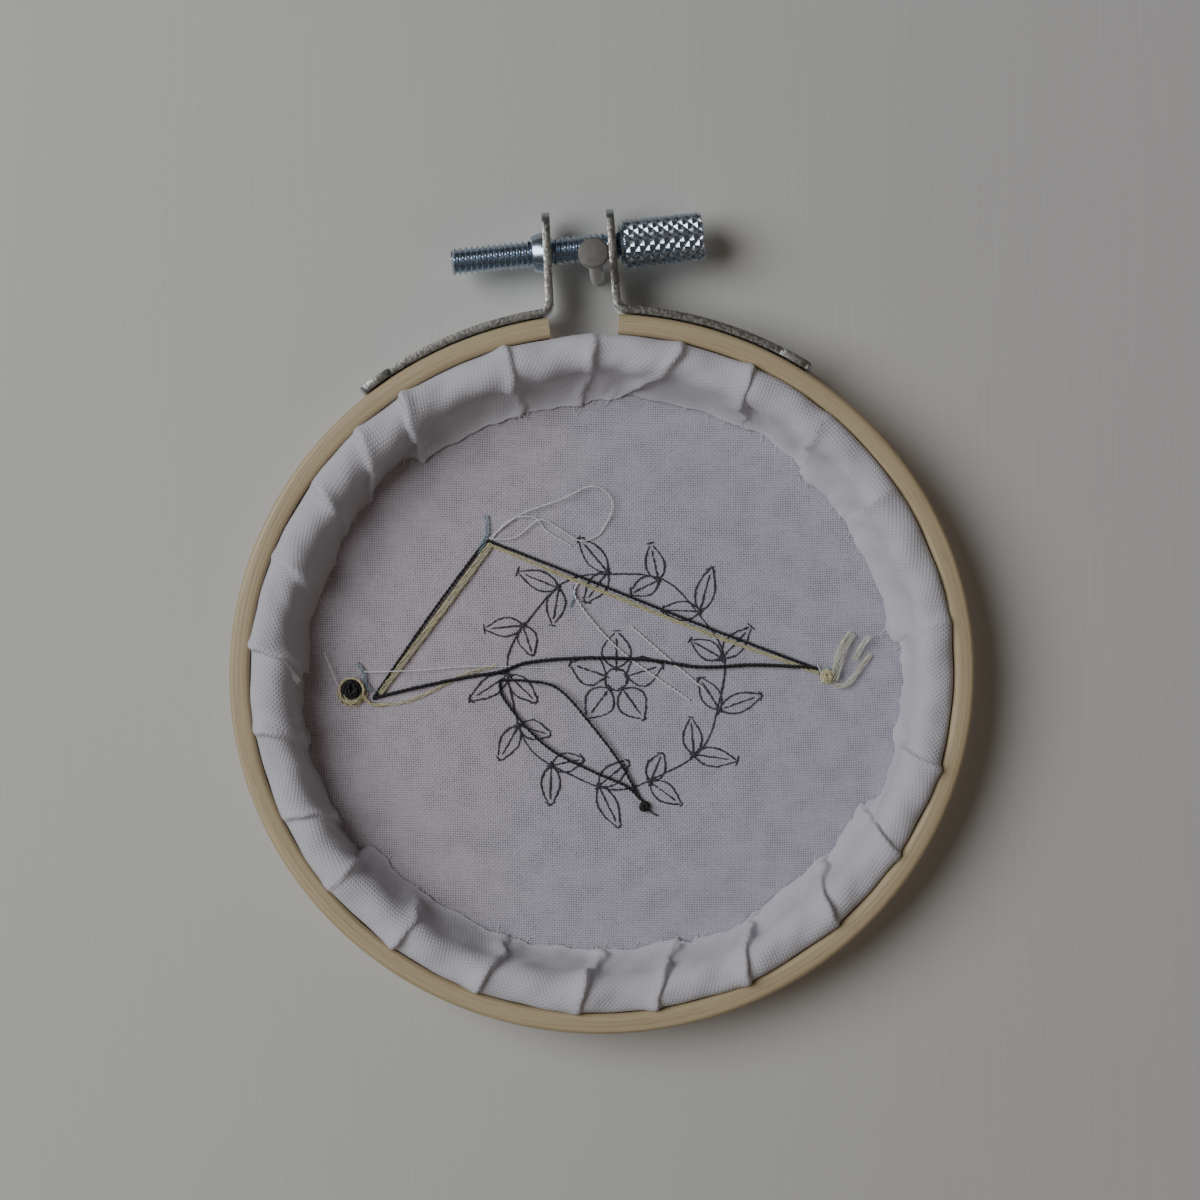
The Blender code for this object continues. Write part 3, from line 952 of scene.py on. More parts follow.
# %% Grow the screw
Bar = namedtuple("Bar", "start length radius depth pitch starts_a starts_b chamfer along round")
SCREW_BARS = (
    Bar(-18.3, 24.3, 2.0, 0.44, 0.81, 1, 1, 0.3, 393, 49),
    Bar(5.75, 0.6, 2.8, 0.0, 1.0, 1, 1, 0.1, 8, 49),
    Bar(6.3, 11.3, 3.5, 0.34, 1.4125, 13, -13, 0.3, 99, 157),
)


def bar(name, row):
    values = {
        "Start": row.start * MM, "Length": row.length * MM, "Radius": row.radius * MM,
        "Depth": row.depth * MM, "Pitch": row.pitch * MM, "Starts A": float(row.starts_a),
        "Starts B": float(row.starts_b), "Chamfer": row.chamfer * MM, "Along": row.along,
        "Round": row.round, "Finish": screw_finish,
    }
    return grow(name, grooved_bar, bpy.data.meshes.new("empty"), values)


def join(name, objects):
    """One object from several, which share one list of materials."""
    bpy.context.view_layer.objects.active = objects[0]
    for obj in scene.objects:
        obj.select_set(obj in objects)
    bpy.ops.object.join()
    objects[0].name = name
    return objects[0]


joint = frame["joints"][0]
screw_place = Vector(joint["pos_m"])
screw_axis = Vector(joint["axis"])
screw = join("clamp_screw", [bar(f"bar_{i}", row) for i, row in enumerate(SCREW_BARS)])
turned_to = Vector((1, 0, 0)).rotation_difference(screw_axis).to_matrix().to_4x4()
screw.data.transform(Matrix.Translation(screw_place) @ turned_to)
smooth(screw, radians(28))
print("clamp screw:", len(screw.data.polygons), "faces")

# %% [markdown]
# ## Brackets
# Two strips of plated steel lie on the outer ring's ends, each with a wider pad at the far end, and
# turn up into ears that the screw passes through. The left ear is tapped and carries a small collar.
# Each strip is one flat section carried along a line of stations: the pad, the run round the ring,
# the bend and the ear. The hole is cut afterwards, and a bevel softens the sheared edges.

# %% Stations of a bracket
Bracket = namedtuple("Bracket", "name side leaves lean")
BRACKETS = (
    Bracket("bracket_left", -1, radians(6.7), radians(0.2)),
    Bracket("bracket_right", 1, radians(6.9), radians(1.5)),
)
FIT_GAP = 0.3 * MM
STRIP_THICK = 1.1 * MM
STRIP_HALF = 3.5 * MM
STRIP_END = radians(36.5)
PAD_START = radians(31.6)
PAD_HALF = 4.2 * MM
PAD_CORNER = 1.2 * MM
BEND_RADIUS = 1.8 * MM
EAR_TOP = 65.8 * MM
EAR_CORNER = 2.5 * MM
STRIP_Y = (RING_BACK + RING_FRONT) / 2
RUN_STATIONS = 26
BEND_STATIONS = 10


def rounded_end(half, corner, steps=6):
    """(depth below the end, half width) down a plate's rounded corners."""
    turns = [pi / 2 * i / steps for i in range(steps + 1)]
    return [(corner * (1 - cos(a)), half - corner + corner * sin(a)) for a in turns]


def strip_stations(row):
    """(place, heading, half width) along the strip's middle, as if on the right."""
    out = STRIP_THICK / 2 + FIT_GAP
    length = HALF_HIGH + out
    pad = rounded_end(PAD_HALF, PAD_CORNER)
    round_ring = [(STRIP_END - depth / length, half) for depth, half in pad]
    round_ring += [(PAD_START, PAD_HALF), (PAD_START - FIT_GAP / length, STRIP_HALF)]
    run = np.linspace(PAD_START - 2 * FIT_GAP / length, row.leaves, RUN_STATIONS)
    round_ring += [(a, STRIP_HALF) for a in run]
    found = []
    for angle, half in round_ring:
        place = Vector(((HALF_WIDE + out) * sin(angle), (HALF_HIGH + out) * cos(angle)))
        found.append((place, pi - angle, half))
    place, heading, half = found[-1]
    up = pi / 2 + row.lean
    centre = place + BEND_RADIUS * Vector((sin(heading), -cos(heading)))
    for i in range(1, BEND_STATIONS + 1):
        turn = heading + (up - heading) * i / BEND_STATIONS
        found.append((centre - BEND_RADIUS * Vector((sin(turn), -cos(turn))), turn, half))
    foot, along = found[-1][0], Vector((cos(up), sin(up)))
    reach = (EAR_TOP - foot.y) / along.y
    for depth, width in reversed(rounded_end(STRIP_HALF, EAR_CORNER)):
        found.append((foot + along * (reach - depth), up, width))
    return found


print("a bracket has", len(strip_stations(BRACKETS[0])), "stations")

# %% Build the brackets
DRILL_RADIUS = 2.15 * MM
DRILL_REACH = 5 * MM
EDGE_ROUND = 0.16 * MM
COLLAR_LENGTH = 1.6 * MM
COLLAR_SHOULDER = 1.3 * MM
COLLAR_END_RADIUS = 2.45 * MM
COLLAR_TIP_RADIUS = 2.6 * MM
COLLAR_FOOT_RADIUS = 2.9 * MM
COLLAR_PROFILE = (
    (-STRIP_THICK / 2 - COLLAR_LENGTH, 0),
    (-STRIP_THICK / 2 - COLLAR_LENGTH, COLLAR_END_RADIUS),
    (-STRIP_THICK / 2 - COLLAR_SHOULDER, COLLAR_TIP_RADIUS),
    (-STRIP_THICK / 2, COLLAR_FOOT_RADIUS),
    (STRIP_THICK / 4, COLLAR_FOOT_RADIUS),
    (STRIP_THICK / 4, 0),
)
DRILL_PROFILE = (
    (-DRILL_REACH, 0),
    (-DRILL_REACH, DRILL_RADIUS),
    (DRILL_REACH, DRILL_RADIUS),
    (DRILL_REACH, 0),
)


def lathe(name, profile, finish, sides=48):
    """A solid turned about X from (x, radius) pairs, closed by a zero radius at each end."""
    around = np.linspace(0, 2 * pi, sides, endpoint=False)
    x, radius = np.array(profile).T
    points = np.stack(
        np.broadcast_arrays(x[None], radius * np.cos(around)[:, None], radius * np.sin(around)[:, None]), -1
    )
    run = lengths(np.array(profile)) / MM

    def pattern(row, column, _):
        return np.stack([row * 0.3, run[column]], -1)

    made = skin(name, points, pattern, finish, loop_rows=True)
    settle(made.data)
    return made


def bracket(row):
    loops = []
    for place, heading, half in strip_stations(row):
        across = STRIP_THICK / 2 * Vector((sin(heading), -cos(heading)))
        loop = []
        for side, y in ((1, -half), (1, half), (-1, half), (-1, -half)):
            corner = place + side * across
            loop.append(HOOP @ Vector((row.side * corner.x, STRIP_Y + y, corner.y)))
        loops.append(loop)

    def pattern(down, along, _):
        return np.stack([down * 1.0, along * 1.0], -1)

    plate = skin(row.name + "_plate", np.array(loops), pattern, strip_finish, loop_columns=True, capped=True)
    settle(plate.data)
    return plate


def cut(obj, other, operation):
    """Applies a Boolean and lets the other object go."""
    modifier = obj.modifiers.new("cut", "BOOLEAN")
    modifier.operation = operation
    modifier.object = other
    modifier.material_mode = "TRANSFER"
    return baked(obj, [other])


def baked(obj, spent=()):
    """The object with its modifiers applied."""
    graph = bpy.context.evaluated_depsgraph_get()
    mesh = bpy.data.meshes.new_from_object(obj.evaluated_get(graph), depsgraph=graph)
    obj.modifiers.clear()
    obj.data = mesh
    for other in spent:
        bpy.data.objects.remove(other)
    return obj


def ear_crossing(row):
    """How far along the screw's axis it meets the middle of an ear."""
    top, up, _ = strip_stations(row)[-1]
    place = HOOP @ Vector((row.side * top.x, STRIP_Y, top.y))
    normal = HOOP.to_3x3() @ Vector((sin(up), 0, -row.side * cos(up)))
    return (place - screw_place).dot(normal) / screw_axis.dot(normal)


def on_screw(obj, shift=0.0):
    obj.data.transform(Matrix.Translation(screw_place + screw_axis * shift) @ turned_to)
    return obj


brackets = []
for row in BRACKETS:
    plate = bracket(row)
    crossing = ear_crossing(row)
    if row.side < 0:
        plate = cut(plate, on_screw(lathe("collar", COLLAR_PROFILE, screw_finish), crossing), "UNION")
    plate = cut(plate, on_screw(lathe("drill", DRILL_PROFILE, strip_finish), crossing), "DIFFERENCE")
    soften = plate.modifiers.new("soften", "BEVEL")
    soften.width = EDGE_ROUND
    soften.segments = 2
    soften.limit_method = "ANGLE"
    soften.angle_limit = radians(50)
    baked(plate)
    brackets.append(smooth(plate, radians(35)))
print("brackets:", [len(b.data.polygons) for b in brackets], "faces")

# %% [markdown]
# ## The nail
# A plain wire nail with a flat head carries the hoop by its screw. It is turned on its own axis, and
# its cut end is slid along the axis to lie flush with the wall.

# %% Nail
def nail_steel():
    steel = Finish("dull_steel", metallic=0.65)
    here = steel.place()
    rust = steel.noise(here, 0.9, 4)
    steel.feed("Base Color", steel.mix(rust, rgb(0.20, 0.192, 0.178), rgb(0.13, 0.12, 0.108)))
    steel.feed("Roughness", rust * 0.25 + 0.5)
    steel.bump(steel.noise(here, 5, 2), 0.03 * MM, 0.6)
    return steel.material


NAIL_RADIUS = 1.0 * MM
HEAD_RADIUS = 2.15 * MM
HEAD_THICK = 0.9 * MM
head_middle = Vector((-0.55, -18.5, 1.5)) * MM
nail_length = head_middle.length
nail_profile = [(0, 0)] + [(nail_length * i / 12, NAIL_RADIUS) for i in range(12)]
nail_profile += [
    (nail_length - 1.0 * MM, NAIL_RADIUS),
    (nail_length - 0.55 * MM, NAIL_RADIUS * 1.25),
    (nail_length - HEAD_THICK / 2, HEAD_RADIUS * 0.94),
    (nail_length - 0.3 * MM, HEAD_RADIUS),
    (nail_length + 0.28 * MM, HEAD_RADIUS),
    (nail_length + 0.4 * MM, HEAD_RADIUS * 0.95),
    (nail_length + HEAD_THICK / 2, HEAD_RADIUS * 0.86),
    (nail_length + HEAD_THICK / 2, 0),
]
nail = lathe("nail_steel", nail_profile, nail_steel(), 40)
nail_axis = head_middle.normalized()
nail.data.transform(Vector((1, 0, 0)).rotation_difference(nail_axis).to_matrix().to_4x4())
for vertex in nail.data.vertices:
    if vertex.co.dot(nail_axis) < NAIL_RADIUS / 2:
        vertex.co -= nail_axis * (vertex.co.y / nail_axis.y)
smooth(nail)
print("nail ends at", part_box("nail")[1].y, "and", max(v.co.y for v in nail.data.vertices))

# %% [markdown]
# ## Thread
# Stranded cotton comes as plies wound round each other. One tree makes all of it: a path is smoothed
# and resampled, copied once for each ply, and every copy is wound round the path by its length and its
# own number; then each gets a round section. With many plies and hardly any twist the same tree gives
# the frayed end of a thread, and with one ply a single fibre. A bump couldn't show plies that part.

# %% Thread tree
def thread_tree():
    sizes = ("Ply radius", "Spread", "Turn length", "Step", "Wander")
    ports = [Port(name, "size") for name in sizes] + [Port("Plies", "count"), Port("Finish", "material")]
    graph, start, given = new_tree("Twisted thread", ports)
    path = graph.node("GeometryNodeMeshToCurve", None, {0: start})
    path = graph.node("GeometryNodeCurveSplineType", {"spline_type": "CATMULL_ROM"}, {0: path})
    sockets = {"Curve": path, "Length": given["Step"]}
    path = graph.node("GeometryNodeResampleCurve", {"mode": "LENGTH"}, sockets)
    amount = {"Geometry": path, "Amount": given["Plies"]}
    plies = graph.node("GeometryNodeDuplicateElements", {"domain": "SPLINE"}, amount)
    number = plies.output("Duplicate Index")
    length = graph.node("GeometryNodeSplineParameter").output("Length")
    angle = (number / given["Plies"] + length / given["Turn length"]) * (2 * pi)
    normal = graph.node("GeometryNodeInputNormal")
    side = graph.vector("CROSS_PRODUCT", graph.node("GeometryNodeInputTangent"), normal)
    wound = graph.vector(
        "ADD",
        graph.scaled(normal, graph.math("COSINE", angle)),
        graph.scaled(side, graph.math("SINE", angle)),
    )
    place = graph.node("GeometryNodeInputPosition")
    sockets = {"Vector": place, "W": number * 3.7, "Scale": 700.0, "Detail": 2.0}
    noise = graph.node("ShaderNodeTexNoise", {"noise_dimensions": "4D"}, sockets, "Color")
    stray = graph.scaled(graph.vector("SUBTRACT", noise, (0.5, 0.5, 0.5)), given["Wander"])
    offset = graph.vector("ADD", graph.scaled(wound, given["Spread"]), stray)
    moved = graph.node("GeometryNodeSetPosition", None, {"Geometry": plies, "Offset": offset})
    sockets = {"Resolution": 6, "Radius": given["Ply radius"]}
    circle = graph.node("GeometryNodeCurvePrimitiveCircle", None, sockets)
    sockets = {"Curve": moved, "Profile Curve": circle, "Fill Caps": True}
    tube = graph.node("GeometryNodeCurveToMesh", None, sockets)
    return end_tree(graph, tube, given["Finish"])


twisted_thread = thread_tree()
print("thread tree:", len(twisted_thread.nodes), "nodes")

# %% Cotton floss in its colours
def floss(name, colour, shade, sheen=0.3):
    yarn = Finish(name, roughness=0.6, sheen_weight=sheen, sheen_roughness=0.4)
    fuzz = yarn.noise(yarn.place(), 4.0, 3)
    yarn.feed("Base Color", yarn.mix(yarn.between(fuzz, 0.35, 0.65), rgb(*shade), rgb(*colour)))
    yarn.bump(fuzz, 0.03 * MM, 0.6)
    return yarn.material


BLACK = floss("black_floss", (0.008, 0.008, 0.010), (0.004, 0.004, 0.005), 0.0)
CREAM = floss("cream_floss", (0.68, 0.62, 0.40), (0.42, 0.37, 0.20))
WHITE = floss("white_floss", (0.78, 0.78, 0.80), (0.62, 0.62, 0.64))
PALE_BLUE = floss("pale_blue_floss", (0.34, 0.42, 0.48), (0.20, 0.26, 0.31))
FRAYED = floss("frayed_floss", (0.74, 0.73, 0.60), (0.55, 0.54, 0.42))
PLUM = floss("plum_floss", (0.060, 0.048, 0.070), (0.022, 0.018, 0.028), 0.08)
print("six colours of floss")

# %% [markdown]
# ### Carried threads
# On the wrong side, the worker carries the floss from one place to the next instead of ending it, so
# it floats over the cloth in straight taut runs and slack loops. Each run below is a few places, in
# millimetres to the right of the hoop's middle and above it, with its height above the cloth.

# %% Lay the carried threads
Run = namedtuple("Run", "finish plies ply spread turn wander places")
RUNS = (
    Run("black", 2, 0.125, 0.12, 1.3, 0.14, (
        (-16.5, 19.0, 0.3), (-4, 14.1, 0.5), (14, 6.9, 0.5), (31.0, 0.5, 0.4))),
    Run("cream", 5, 0.07, 0.20, 9.0, 0.22, (
        (-16.2, 18.4, 0.2), (-4, 13.3, 0.3), (14, 6.1, 0.3), (31.2, -0.1, 0.3))),
    Run("black", 2, 0.13, 0.12, 1.3, 0.12, ((-16.6, 19.1, 0.3), (-24.4, 8.6, 0.5), (-32.8, -3.6, 0.3))),
    Run("cream", 8, 0.075, 0.40, 14.0, 0.30, ((-15.9, 18.4, 0.2), (-23.6, 8.0, 0.3), (-31.9, -3.0, 0.2))),
    Run("black", 2, 0.165, 0.14, 1.4, 0.14, (
        (-32.9, -3.7, 0.3), (-26.0, -2.0, 0.5), (-19.0, -0.6, 0.4), (-14.7, 0.1, 0.4), (-10.3, 1.5, 0.5),
        (-2.0, 2.1, 0.5), (6.9, 1.8, 0.5), (14.1, 0.8, 0.6), (22.0, 1.1, 0.6), (30.8, 0.7, 0.5))),
    Run("cream", 3, 0.06, 0.18, 6.0, 0.25, (
        (-32.6, -4.6, 0.1), (-29.0, -4.4, 0.2), (-25.0, -3.0, 0.2), (-20.0, -0.4, 0.2), (-15.0, 1.0, 0.2))),
    Run("white", 2, 0.05, 0.05, 1.0, 0.12, (
        (-34.1, 0.1, 0.7), (-27.0, 0.3, 0.8), (-18.0, 0.9, 0.4), (-6.0, 0.6, 0.2))),
    Run("black", 2, 0.12, 0.11, 1.3, 0.2, (
        (-14.7, -1.1, 0.2), (-10.5, -1.2, 0.7), (-6.0, -2.5, 0.9), (-0.3, -9.0, 0.8), (3.0, -13.6, 0.6),
        (5.5, -18.3, 0.3))),
    Run("black", 2, 0.12, 0.11, 1.3, 0.2, (
        (-14.7, -1.1, 0.2), (-13.9, -4.0, 0.5), (-8.2, -10.4, 0.7), (-1.7, -14.0, 0.6), (3.3, -16.2, 0.5),
        (6.0, -18.6, 0.3))),
    Run("white", 1, 0.085, 0.0, 1.0, 0.14, (
        (-16.5, 19.0, 0.2), (-11.8, 22.6, 0.6), (-6.0, 24.8, 0.9), (-1.7, 26.7, 0.9), (0.9, 25.6, 0.8),
        (1.4, 23.3, 0.7), (-0.3, 19.8, 0.3))),
    Run("white", 1, 0.08, 0.0, 1.0, 0.14, (
        (-16.3, 19.2, 0.2), (-12.5, 19.4, 0.5), (-9.0, 21.9, 0.6), (-6.4, 20.8, 0.6), (-3.0, 18.9, 0.5),
        (-0.3, 19.8, 0.2))),
    Run("white", 1, 0.08, 0.0, 1.0, 0.14, (
        (-16.0, 18.9, 0.2), (-13.4, 21.8, 0.4), (-9.8, 22.3, 0.5), (-7.9, 20.3, 0.3), (-4.4, 18.2, 0.2))),
    Run("white", 2, 0.075, 0.08, 1.4, 0.14, (
        (-3.2, 13.3, 0.2), (-3.6, 10.4, 0.5), (2.6, 3.2, 0.3), (12.6, -4.0, 0.2))),
    Run("white", 2, 0.075, 0.08, 1.4, 0.14, ((4.0, 6.8, 0.2), (9.0, 2.4, 0.4), (14.8, -2.5, 0.2))),
    Run("pale_blue", 6, 0.06, 0.30, 5.0, 0.35, (
        (-18.0, 17.0, 0.1), (-17.0, 18.6, 0.3), (-16.4, 20.4, 0.2), (-16.6, 22.6, 0.1))),
    Run("pale_blue", 4, 0.06, 0.16, 4.0, 0.2, ((-4.2, 12.6, 0.1), (-3.9, 11.2, 0.2), (-4.6, 9.4, 0.1))),
)
THREAD_STEP = 0.22 * MM
FLOSS = {"black": BLACK, "cream": CREAM, "fray": FRAYED, "white": WHITE, "pale_blue": PALE_BLUE}


def over_cloth(x, z, lift):
    """A world place over the back of the stretched cloth, from millimetres."""
    across, up = hoop_centre.x + x * MM, hoop_centre.z + z * MM
    return Vector((across, drum_depth(across, up) - CLOTH_THICK / 2 - lift * MM, up))


def lay(name, run):
    route = [over_cloth(*place) for place in run.places]
    values = {
        "Ply radius": run.ply * MM, "Spread": run.spread * MM, "Turn length": run.turn * MM,
        "Step": THREAD_STEP, "Wander": run.wander * MM, "Plies": run.plies, "Finish": FLOSS[run.finish],
    }
    return grow(name, twisted_thread, path_mesh([route]), values)


carried = join("carried_threads", [lay(f"run_{i}", run) for i, run in enumerate(RUNS)])
smooth(carried, radians(70))
print("carried threads:", len(carried.data.polygons), "faces")

# %% [markdown]
# ### Knots and tails
# A knot is the floss wound over itself a few times and pulled tight, with its tail cut short, and a cut
# tail frays into its strands. The left knot is a black ball held in a cream loop; the right one is
# cream, with two frayed tails; a small black one ends the slack loop. Four tufts of loose ends are
# caught on the turned-in cloth.

# %% Tie the knots
STEPS_A_TURN = 12


def ball(x, z, radius, height, turns):
    """A route that winds over and over a small dome at a place."""
    found = []
    for i in range(turns * STEPS_A_TURN + 1):
        a = 2 * pi * i / STEPS_A_TURN
        roll = 0.61 * a
        lift = height * (0.55 + 0.45 * sin(roll))
        reach = radius * sqrt(max(1 - (lift / height - 0.5) ** 2 * 1.6, 0.15))
        found.append((x + reach * cos(a) * (0.6 + 0.4 * cos(roll)), z + reach * sin(a), lift))
    return tuple(found)


def loop(x, z, wide, high, lift, climb, last):
    """Part of a loop laid round a place, each step climbing a little over the one before."""
    return tuple((x + wide * sin(a / 2), z + high * cos(a / 2), lift + climb * a) for a in range(3, last))


KNOTS = (
    Run("black", 2, 0.2, 0.16, 1.8, 0.2, ball(-35.9, -2.3, 1.15, 1.5, 7)),
    Run("cream", 3, 0.085, 0.12, 2.2, 0.22, loop(-35.9, -2.6, 1.75, 1.8, 0.3, 0.06, 17)),
    Run("cream", 4, 0.075, 0.25, 4.0, 0.5, loop(-35.9, -2.9, 1.95, 1.7, 0.25, 0, 13)),
    Run("cream", 3, 0.08, 0.14, 2.0, 0.2, (
        (-37.2, -3.2, 0.3), (-36.2, -4.1, 0.8), (-35.0, -3.9, 0.9), (-34.4, -3.1, 0.6),
        (-33.4, -4.3, 0.4), (-31.9, -4.7, 0.3), (-30.6, -4.5, 0.2))),
    Run("white", 1, 0.06, 0.0, 1.0, 0.1, (
        (-39.8, 2.9, 0.9), (-38.9, 0.6, 1.1), (-38.0, -1.6, 0.8), (-37.5, -3.0, 0.4))),
    Run("pale_blue", 5, 0.06, 0.28, 5.0, 0.4, (
        (-35.2, 1.4, 0.1), (-34.3, 0.2, 0.4), (-34.0, -1.4, 0.5), (-33.2, -2.6, 0.4))),
    Run("cream", 3, 0.12, 0.16, 1.8, 0.25, ball(32.3, -0.5, 0.85, 1.1, 5)),
    Run("white", 1, 0.07, 0.0, 1.0, 0.1, (
        (30.9, 1.2, 0.5), (31.4, 0.0, 0.9), (31.7, -0.8, 0.8), (31.4, -1.4, 0.4))),
    Run("fray", 14, 0.045, 0.62, 22.0, 0.8, (
        (33.2, -1.0, 0.5), (33.8, 1.0, 0.8), (34.4, 3.2, 0.9), (35.9, 5.6, 0.5))),
    Run("fray", 8, 0.045, 0.30, 22.0, 0.7, (
        (32.4, -1.2, 0.5), (33.8, -1.9, 0.6), (35.2, -1.7, 0.6), (36.8, 0.2, 0.6), (38.6, 2.6, 0.3))),
    Run("pale_blue", 5, 0.05, 0.2, 12.0, 0.2, (
        (31.6, 0.4, 0.4), (32.8, 0.5, 0.8), (33.8, 0.0, 0.6), (34.4, -0.8, 0.3))),
    Run("white", 9, 0.045, 0.30, 30.0, 0.5, ((-45.3, 2.9, 9.0), (-44.3, 0.9, 7.4), (-43.0, -1.2, 5.7))),
    Run("white", 6, 0.045, 0.35, 30.0, 0.6, ((-43.8, 15.2, 9.2), (-43.1, 14.0, 8.0), (-42.5, 12.4, 6.4))),
    Run("fray", 7, 0.045, 0.35, 30.0, 0.7, (
        (-20.6, -38.2, 2.2), (-19.3, -37.0, 1.0), (-18.2, -36.4, 0.4))),
    Run("fray", 7, 0.045, 0.35, 30.0, 0.7, ((38.3, 5.2, 1.4), (37.0, 3.4, 0.8), (36.4, 1.8, 0.4))),
    Run("black", 2, 0.14, 0.12, 1.4, 0.15, ball(6.1, -19.2, 0.6, 0.9, 4)),
    Run("black", 1, 0.10, 0.0, 1.0, 0.1, ((6.4, -19.4, 0.3), (7.4, -20.3, 0.4), (8.0, -20.5, 0.2))),
)
knots = join("knots", [lay(f"knot_{i}", run) for i, run in enumerate(KNOTS)])
smooth(knots, radians(70))
print("knots:", len(knots.data.polygons), "faces")

# %% [markdown]
# ## The stitched design
# The work carries a generic design of its own: a round wreath of leaves with a flower in the middle,
# in backstitch. Backstitch shows as short even stitches on the right side and as longer ones that lap
# on the wrong side. One tree steps along each outline, sets a stitch at every step, turned along
# the line, and varies it a little with a fixed seed.

# %% Stitch tree
def stitch_tree():
    sizes = ("Stitch", "Lap", "Width", "Ragged")
    ports = [Port(name, "size") for name in sizes] + [Port("Seed", "count"), Port("Finish", "material")]
    graph, start, given = new_tree("Backstitch", ports)
    path = graph.node("GeometryNodeMeshToCurve", None, {0: start})
    sockets = {"Curve": path, "Length": given["Stitch"]}
    path = graph.node("GeometryNodeResampleCurve", {"mode": "LENGTH"}, sockets)
    bead = graph.node("GeometryNodeMeshUVSphere", None, {"Segments": 7, "Rings": 5, "Radius": 0.5})
    tangent = graph.node("GeometryNodeInputTangent")
    turn = graph.node("FunctionNodeAlignRotationToVector", {"axis": "X"}, {"Vector": tangent})
    ragged = given["Ragged"]

    def random(low, high, shift):
        sockets = {"Min": low, "Max": high, "Seed": given["Seed"] + shift}
        return graph.node("FunctionNodeRandomValue", {"data_type": "FLOAT"}, sockets, 1)

    long = given["Stitch"] * given["Lap"] * random(1 - ragged, 1 + ragged, 1)
    wide = given["Width"] * random(1 - ragged, 1 + ragged * 0.8, 2)
    size = graph.joined(long, wide, wide * 0.7)
    sockets = {"Points": path, "Instance": bead, "Rotation": turn, "Scale": size}
    stitches = graph.node("GeometryNodeInstanceOnPoints", None, sockets)
    swing = graph.joined(0.0, random(ragged * -0.5, ragged * 0.5, 3), 0.0)
    sockets = {"Instances": stitches, "Rotation": swing}
    stitches = graph.node("GeometryNodeRotateInstances", None, sockets)
    return end_tree(graph, stitches, given["Finish"])


backstitch = stitch_tree()
print("backstitch tree:", len(backstitch.nodes), "nodes")

# %% Wreath and flower
WREATH_MIDDLE = (2.0, -1.0)
WREATH_RADIUS = 15.5
LEAF_PAIRS = 13
LEAF_LONG, LEAF_WIDE = 6.2, 2.7
MIDRIB_SHARE = 0.72
LEAF_TURNS = ((-0.95, 1.0), (0.85, 0.85))
PETALS = 5
PETAL_LONG, PETAL_WIDE = 5.4, 4.2
FLOWER_EYE = 1.6


def toward(angle):
    return np.array([cos(angle), sin(angle)])


def leaf(root, heading, long, wide):
    """The outline of an almond leaf and its midrib, from its root along a heading."""
    along = toward(heading)
    across = np.array([-along[1], along[0]])
    shares = np.linspace(0, 1, 12)
    swell = np.sin(pi * shares**0.8) * wide / 2
    near = [root + along * long * t + across * s for t, s in zip(shares, swell)]
    far = [root + along * long * t - across * s for t, s in zip(shares, swell)]
    return [near + far[::-1], [root, root + along * long * MIDRIB_SHARE]]


def wreath_lines():
    middle = np.array(WREATH_MIDDLE)
    angles = np.linspace(0, 2 * pi, 90)
    ripple = WREATH_RADIUS + 0.35 * np.sin(angles * 7)
    lines = [[middle + r * toward(a) for r, a in zip(ripple, angles)]]
    for i in range(LEAF_PAIRS):
        a = 2 * pi * i / LEAF_PAIRS + 0.2
        root = middle + WREATH_RADIUS * toward(a)
        size = 1 + 0.12 * sin(i * 2.3)
        for turn, share in LEAF_TURNS:
            lines += leaf(root, a + pi / 2 + turn, LEAF_LONG * share * size, LEAF_WIDE)
    for i in range(PETALS):
        a = 2 * pi * i / PETALS + 0.3
        lines += leaf(middle + FLOWER_EYE * toward(a), a, PETAL_LONG, PETAL_WIDE)
    lines.append([middle + FLOWER_EYE * toward(a) for a in np.linspace(0, 2 * pi, 14)])
    return lines


Side = namedtuple("Side", "name sign stitch lap width seed")
SIDES = (Side("back", -1, 0.85, 1.6, 0.37, 3), Side("front", 1, 0.95, 0.95, 0.34, 8))


def stitched(side):
    lift = CLOTH_THICK / 2 + 0.05 * MM
    routes = []
    for line in wreath_lines():
        places = [(hoop_centre.x + x * MM, hoop_centre.z + z * MM) for x, z in line]
        routes.append([(x, drum_depth(x, z) + side.sign * lift, z) for x, z in places])
    values = {
        "Stitch": side.stitch * MM, "Lap": side.lap, "Width": side.width * MM, "Ragged": 0.3,
        "Seed": side.seed, "Finish": PLUM,
    }
    return grow(f"stitches_{side.name}", backstitch, path_mesh(routes), values)


stitches = [stitched(side) for side in SIDES]
for piece in stitches:
    smooth(piece, radians(80))
print("stitches:", [len(piece.data.polygons) for piece in stitches], "faces")

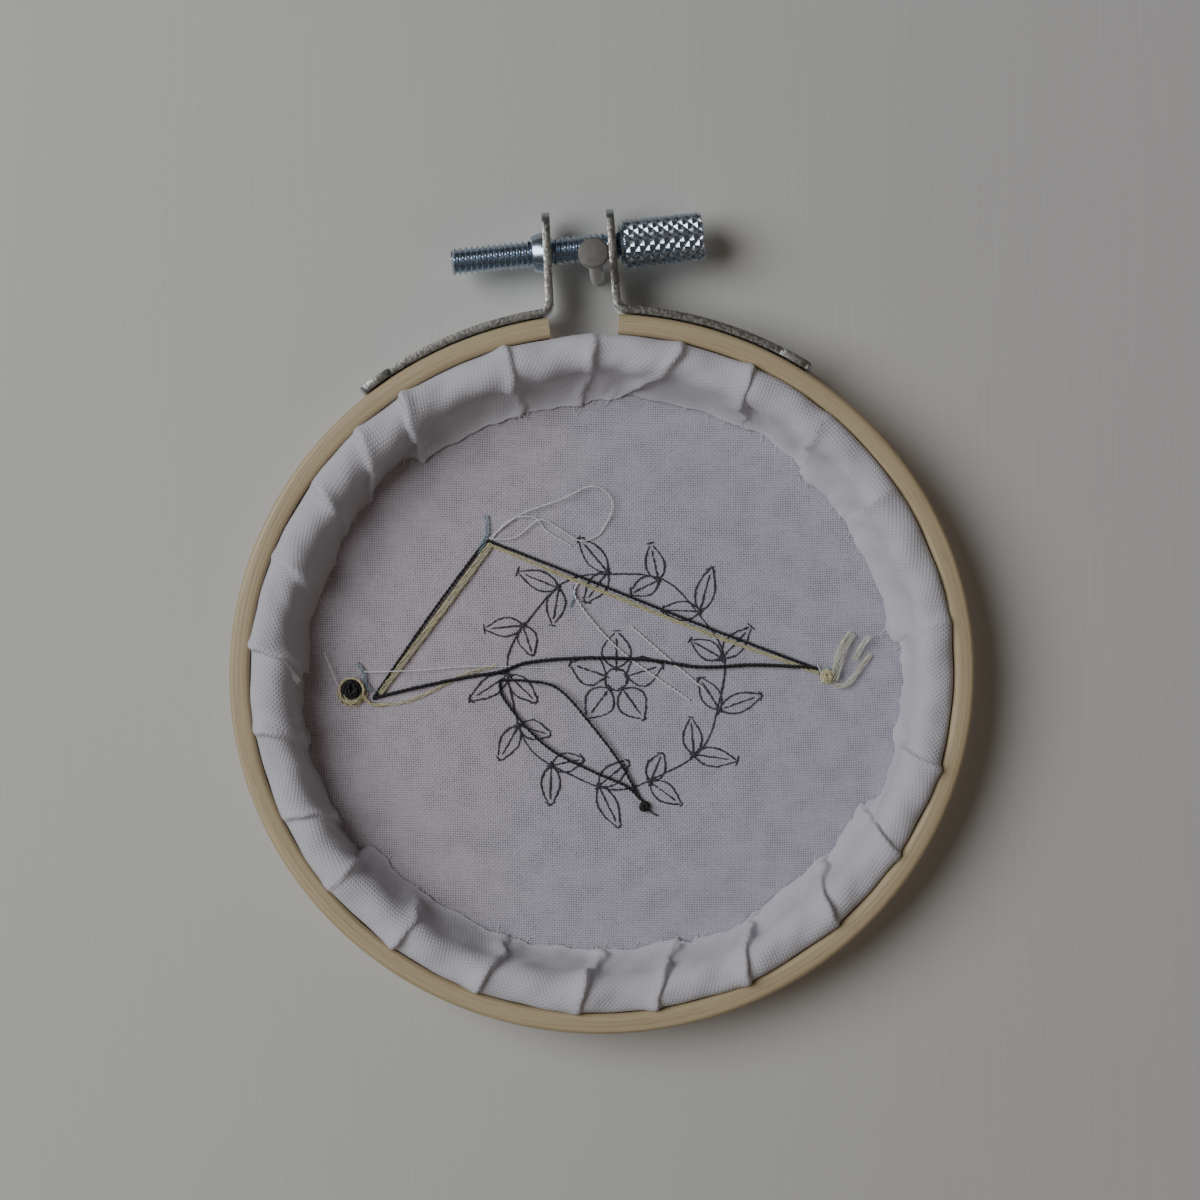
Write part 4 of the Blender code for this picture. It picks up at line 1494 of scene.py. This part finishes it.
# %% [markdown]
# ### The raw edge
# A cut edge of plain weave lets go of its outermost threads, so short fibres stand off it all round.
# They are single plies from the thread tree, on short random routes that start at the edge.

# %% Loose fibres along the raw edge
FIBRES = 260
edge_line = cloth_points[:, -1]
edge_heading = cloth_points[:, -1] - cloth_points[:, -2]
edge_heading /= np.linalg.norm(edge_heading, axis=1, keepdims=True)
routes = []
for row in rng.integers(0, len(edge_line), FIBRES):
    reach = rng.uniform(0.3, 1.3) * MM
    slant = rng.normal(0, 0.6, (2, 3))
    start = edge_line[row] - edge_heading[row] * 0.3 * MM
    bend = start + (edge_heading[row] + slant[0] * 0.6) * reach * 0.6
    end = bend + (edge_heading[row] + slant[1]) * reach * 0.5
    floor = drum_depth(end[0], end[2]) - CLOTH_THICK
    end[1] = min(end[1], floor)
    bend[1] = min(bend[1], floor)
    routes.append([start, bend, end])
values = {
    "Ply radius": 0.035 * MM, "Spread": 0.0, "Turn length": 1 * MM, "Step": 0.2 * MM,
    "Wander": 0.1 * MM, "Plies": 1, "Finish": WHITE,
}
fibres = grow("edge_fibres", twisted_thread, path_mesh(routes), values)
smooth(fibres, radians(70))
print("edge fibres:", len(fibres.data.polygons), "faces")

# %% [markdown]
# ## Hand over to the frame
# Every piece rides on the body it belongs to, and a piece that stands for a solid hides that solid.

# %% Ride and replace
RIDERS = (
    (carried, "hoop", None, ()),
    (knots, "hoop", None, ()),
    (stitches[0], "hoop", None, ()),
    (stitches[1], "hoop", None, ()),
    (fibres, "hoop", "white_cotton", ()),
    (screw, "thumbscrew", "zinc_steel", ("thumbscrew",)),
    (brackets[0], "hoop", "zinc_steel", ("bracket_left",)),
    (brackets[1], "hoop", "zinc_steel", ("bracket_right",)),
    (nail, "hoop", "dull_steel", ("nail",)),
    (outer_ring, "hoop", "bamboo", ("outer_ring",)),
    (inner_ring, "hoop", "bamboo", ("inner_ring",)),
    (cloth, "hoop", "white_cotton", ("cloth",)),
)
for piece, body, slot, nodes in RIDERS:
    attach(piece, body)
    if nodes:
        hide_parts(*nodes)
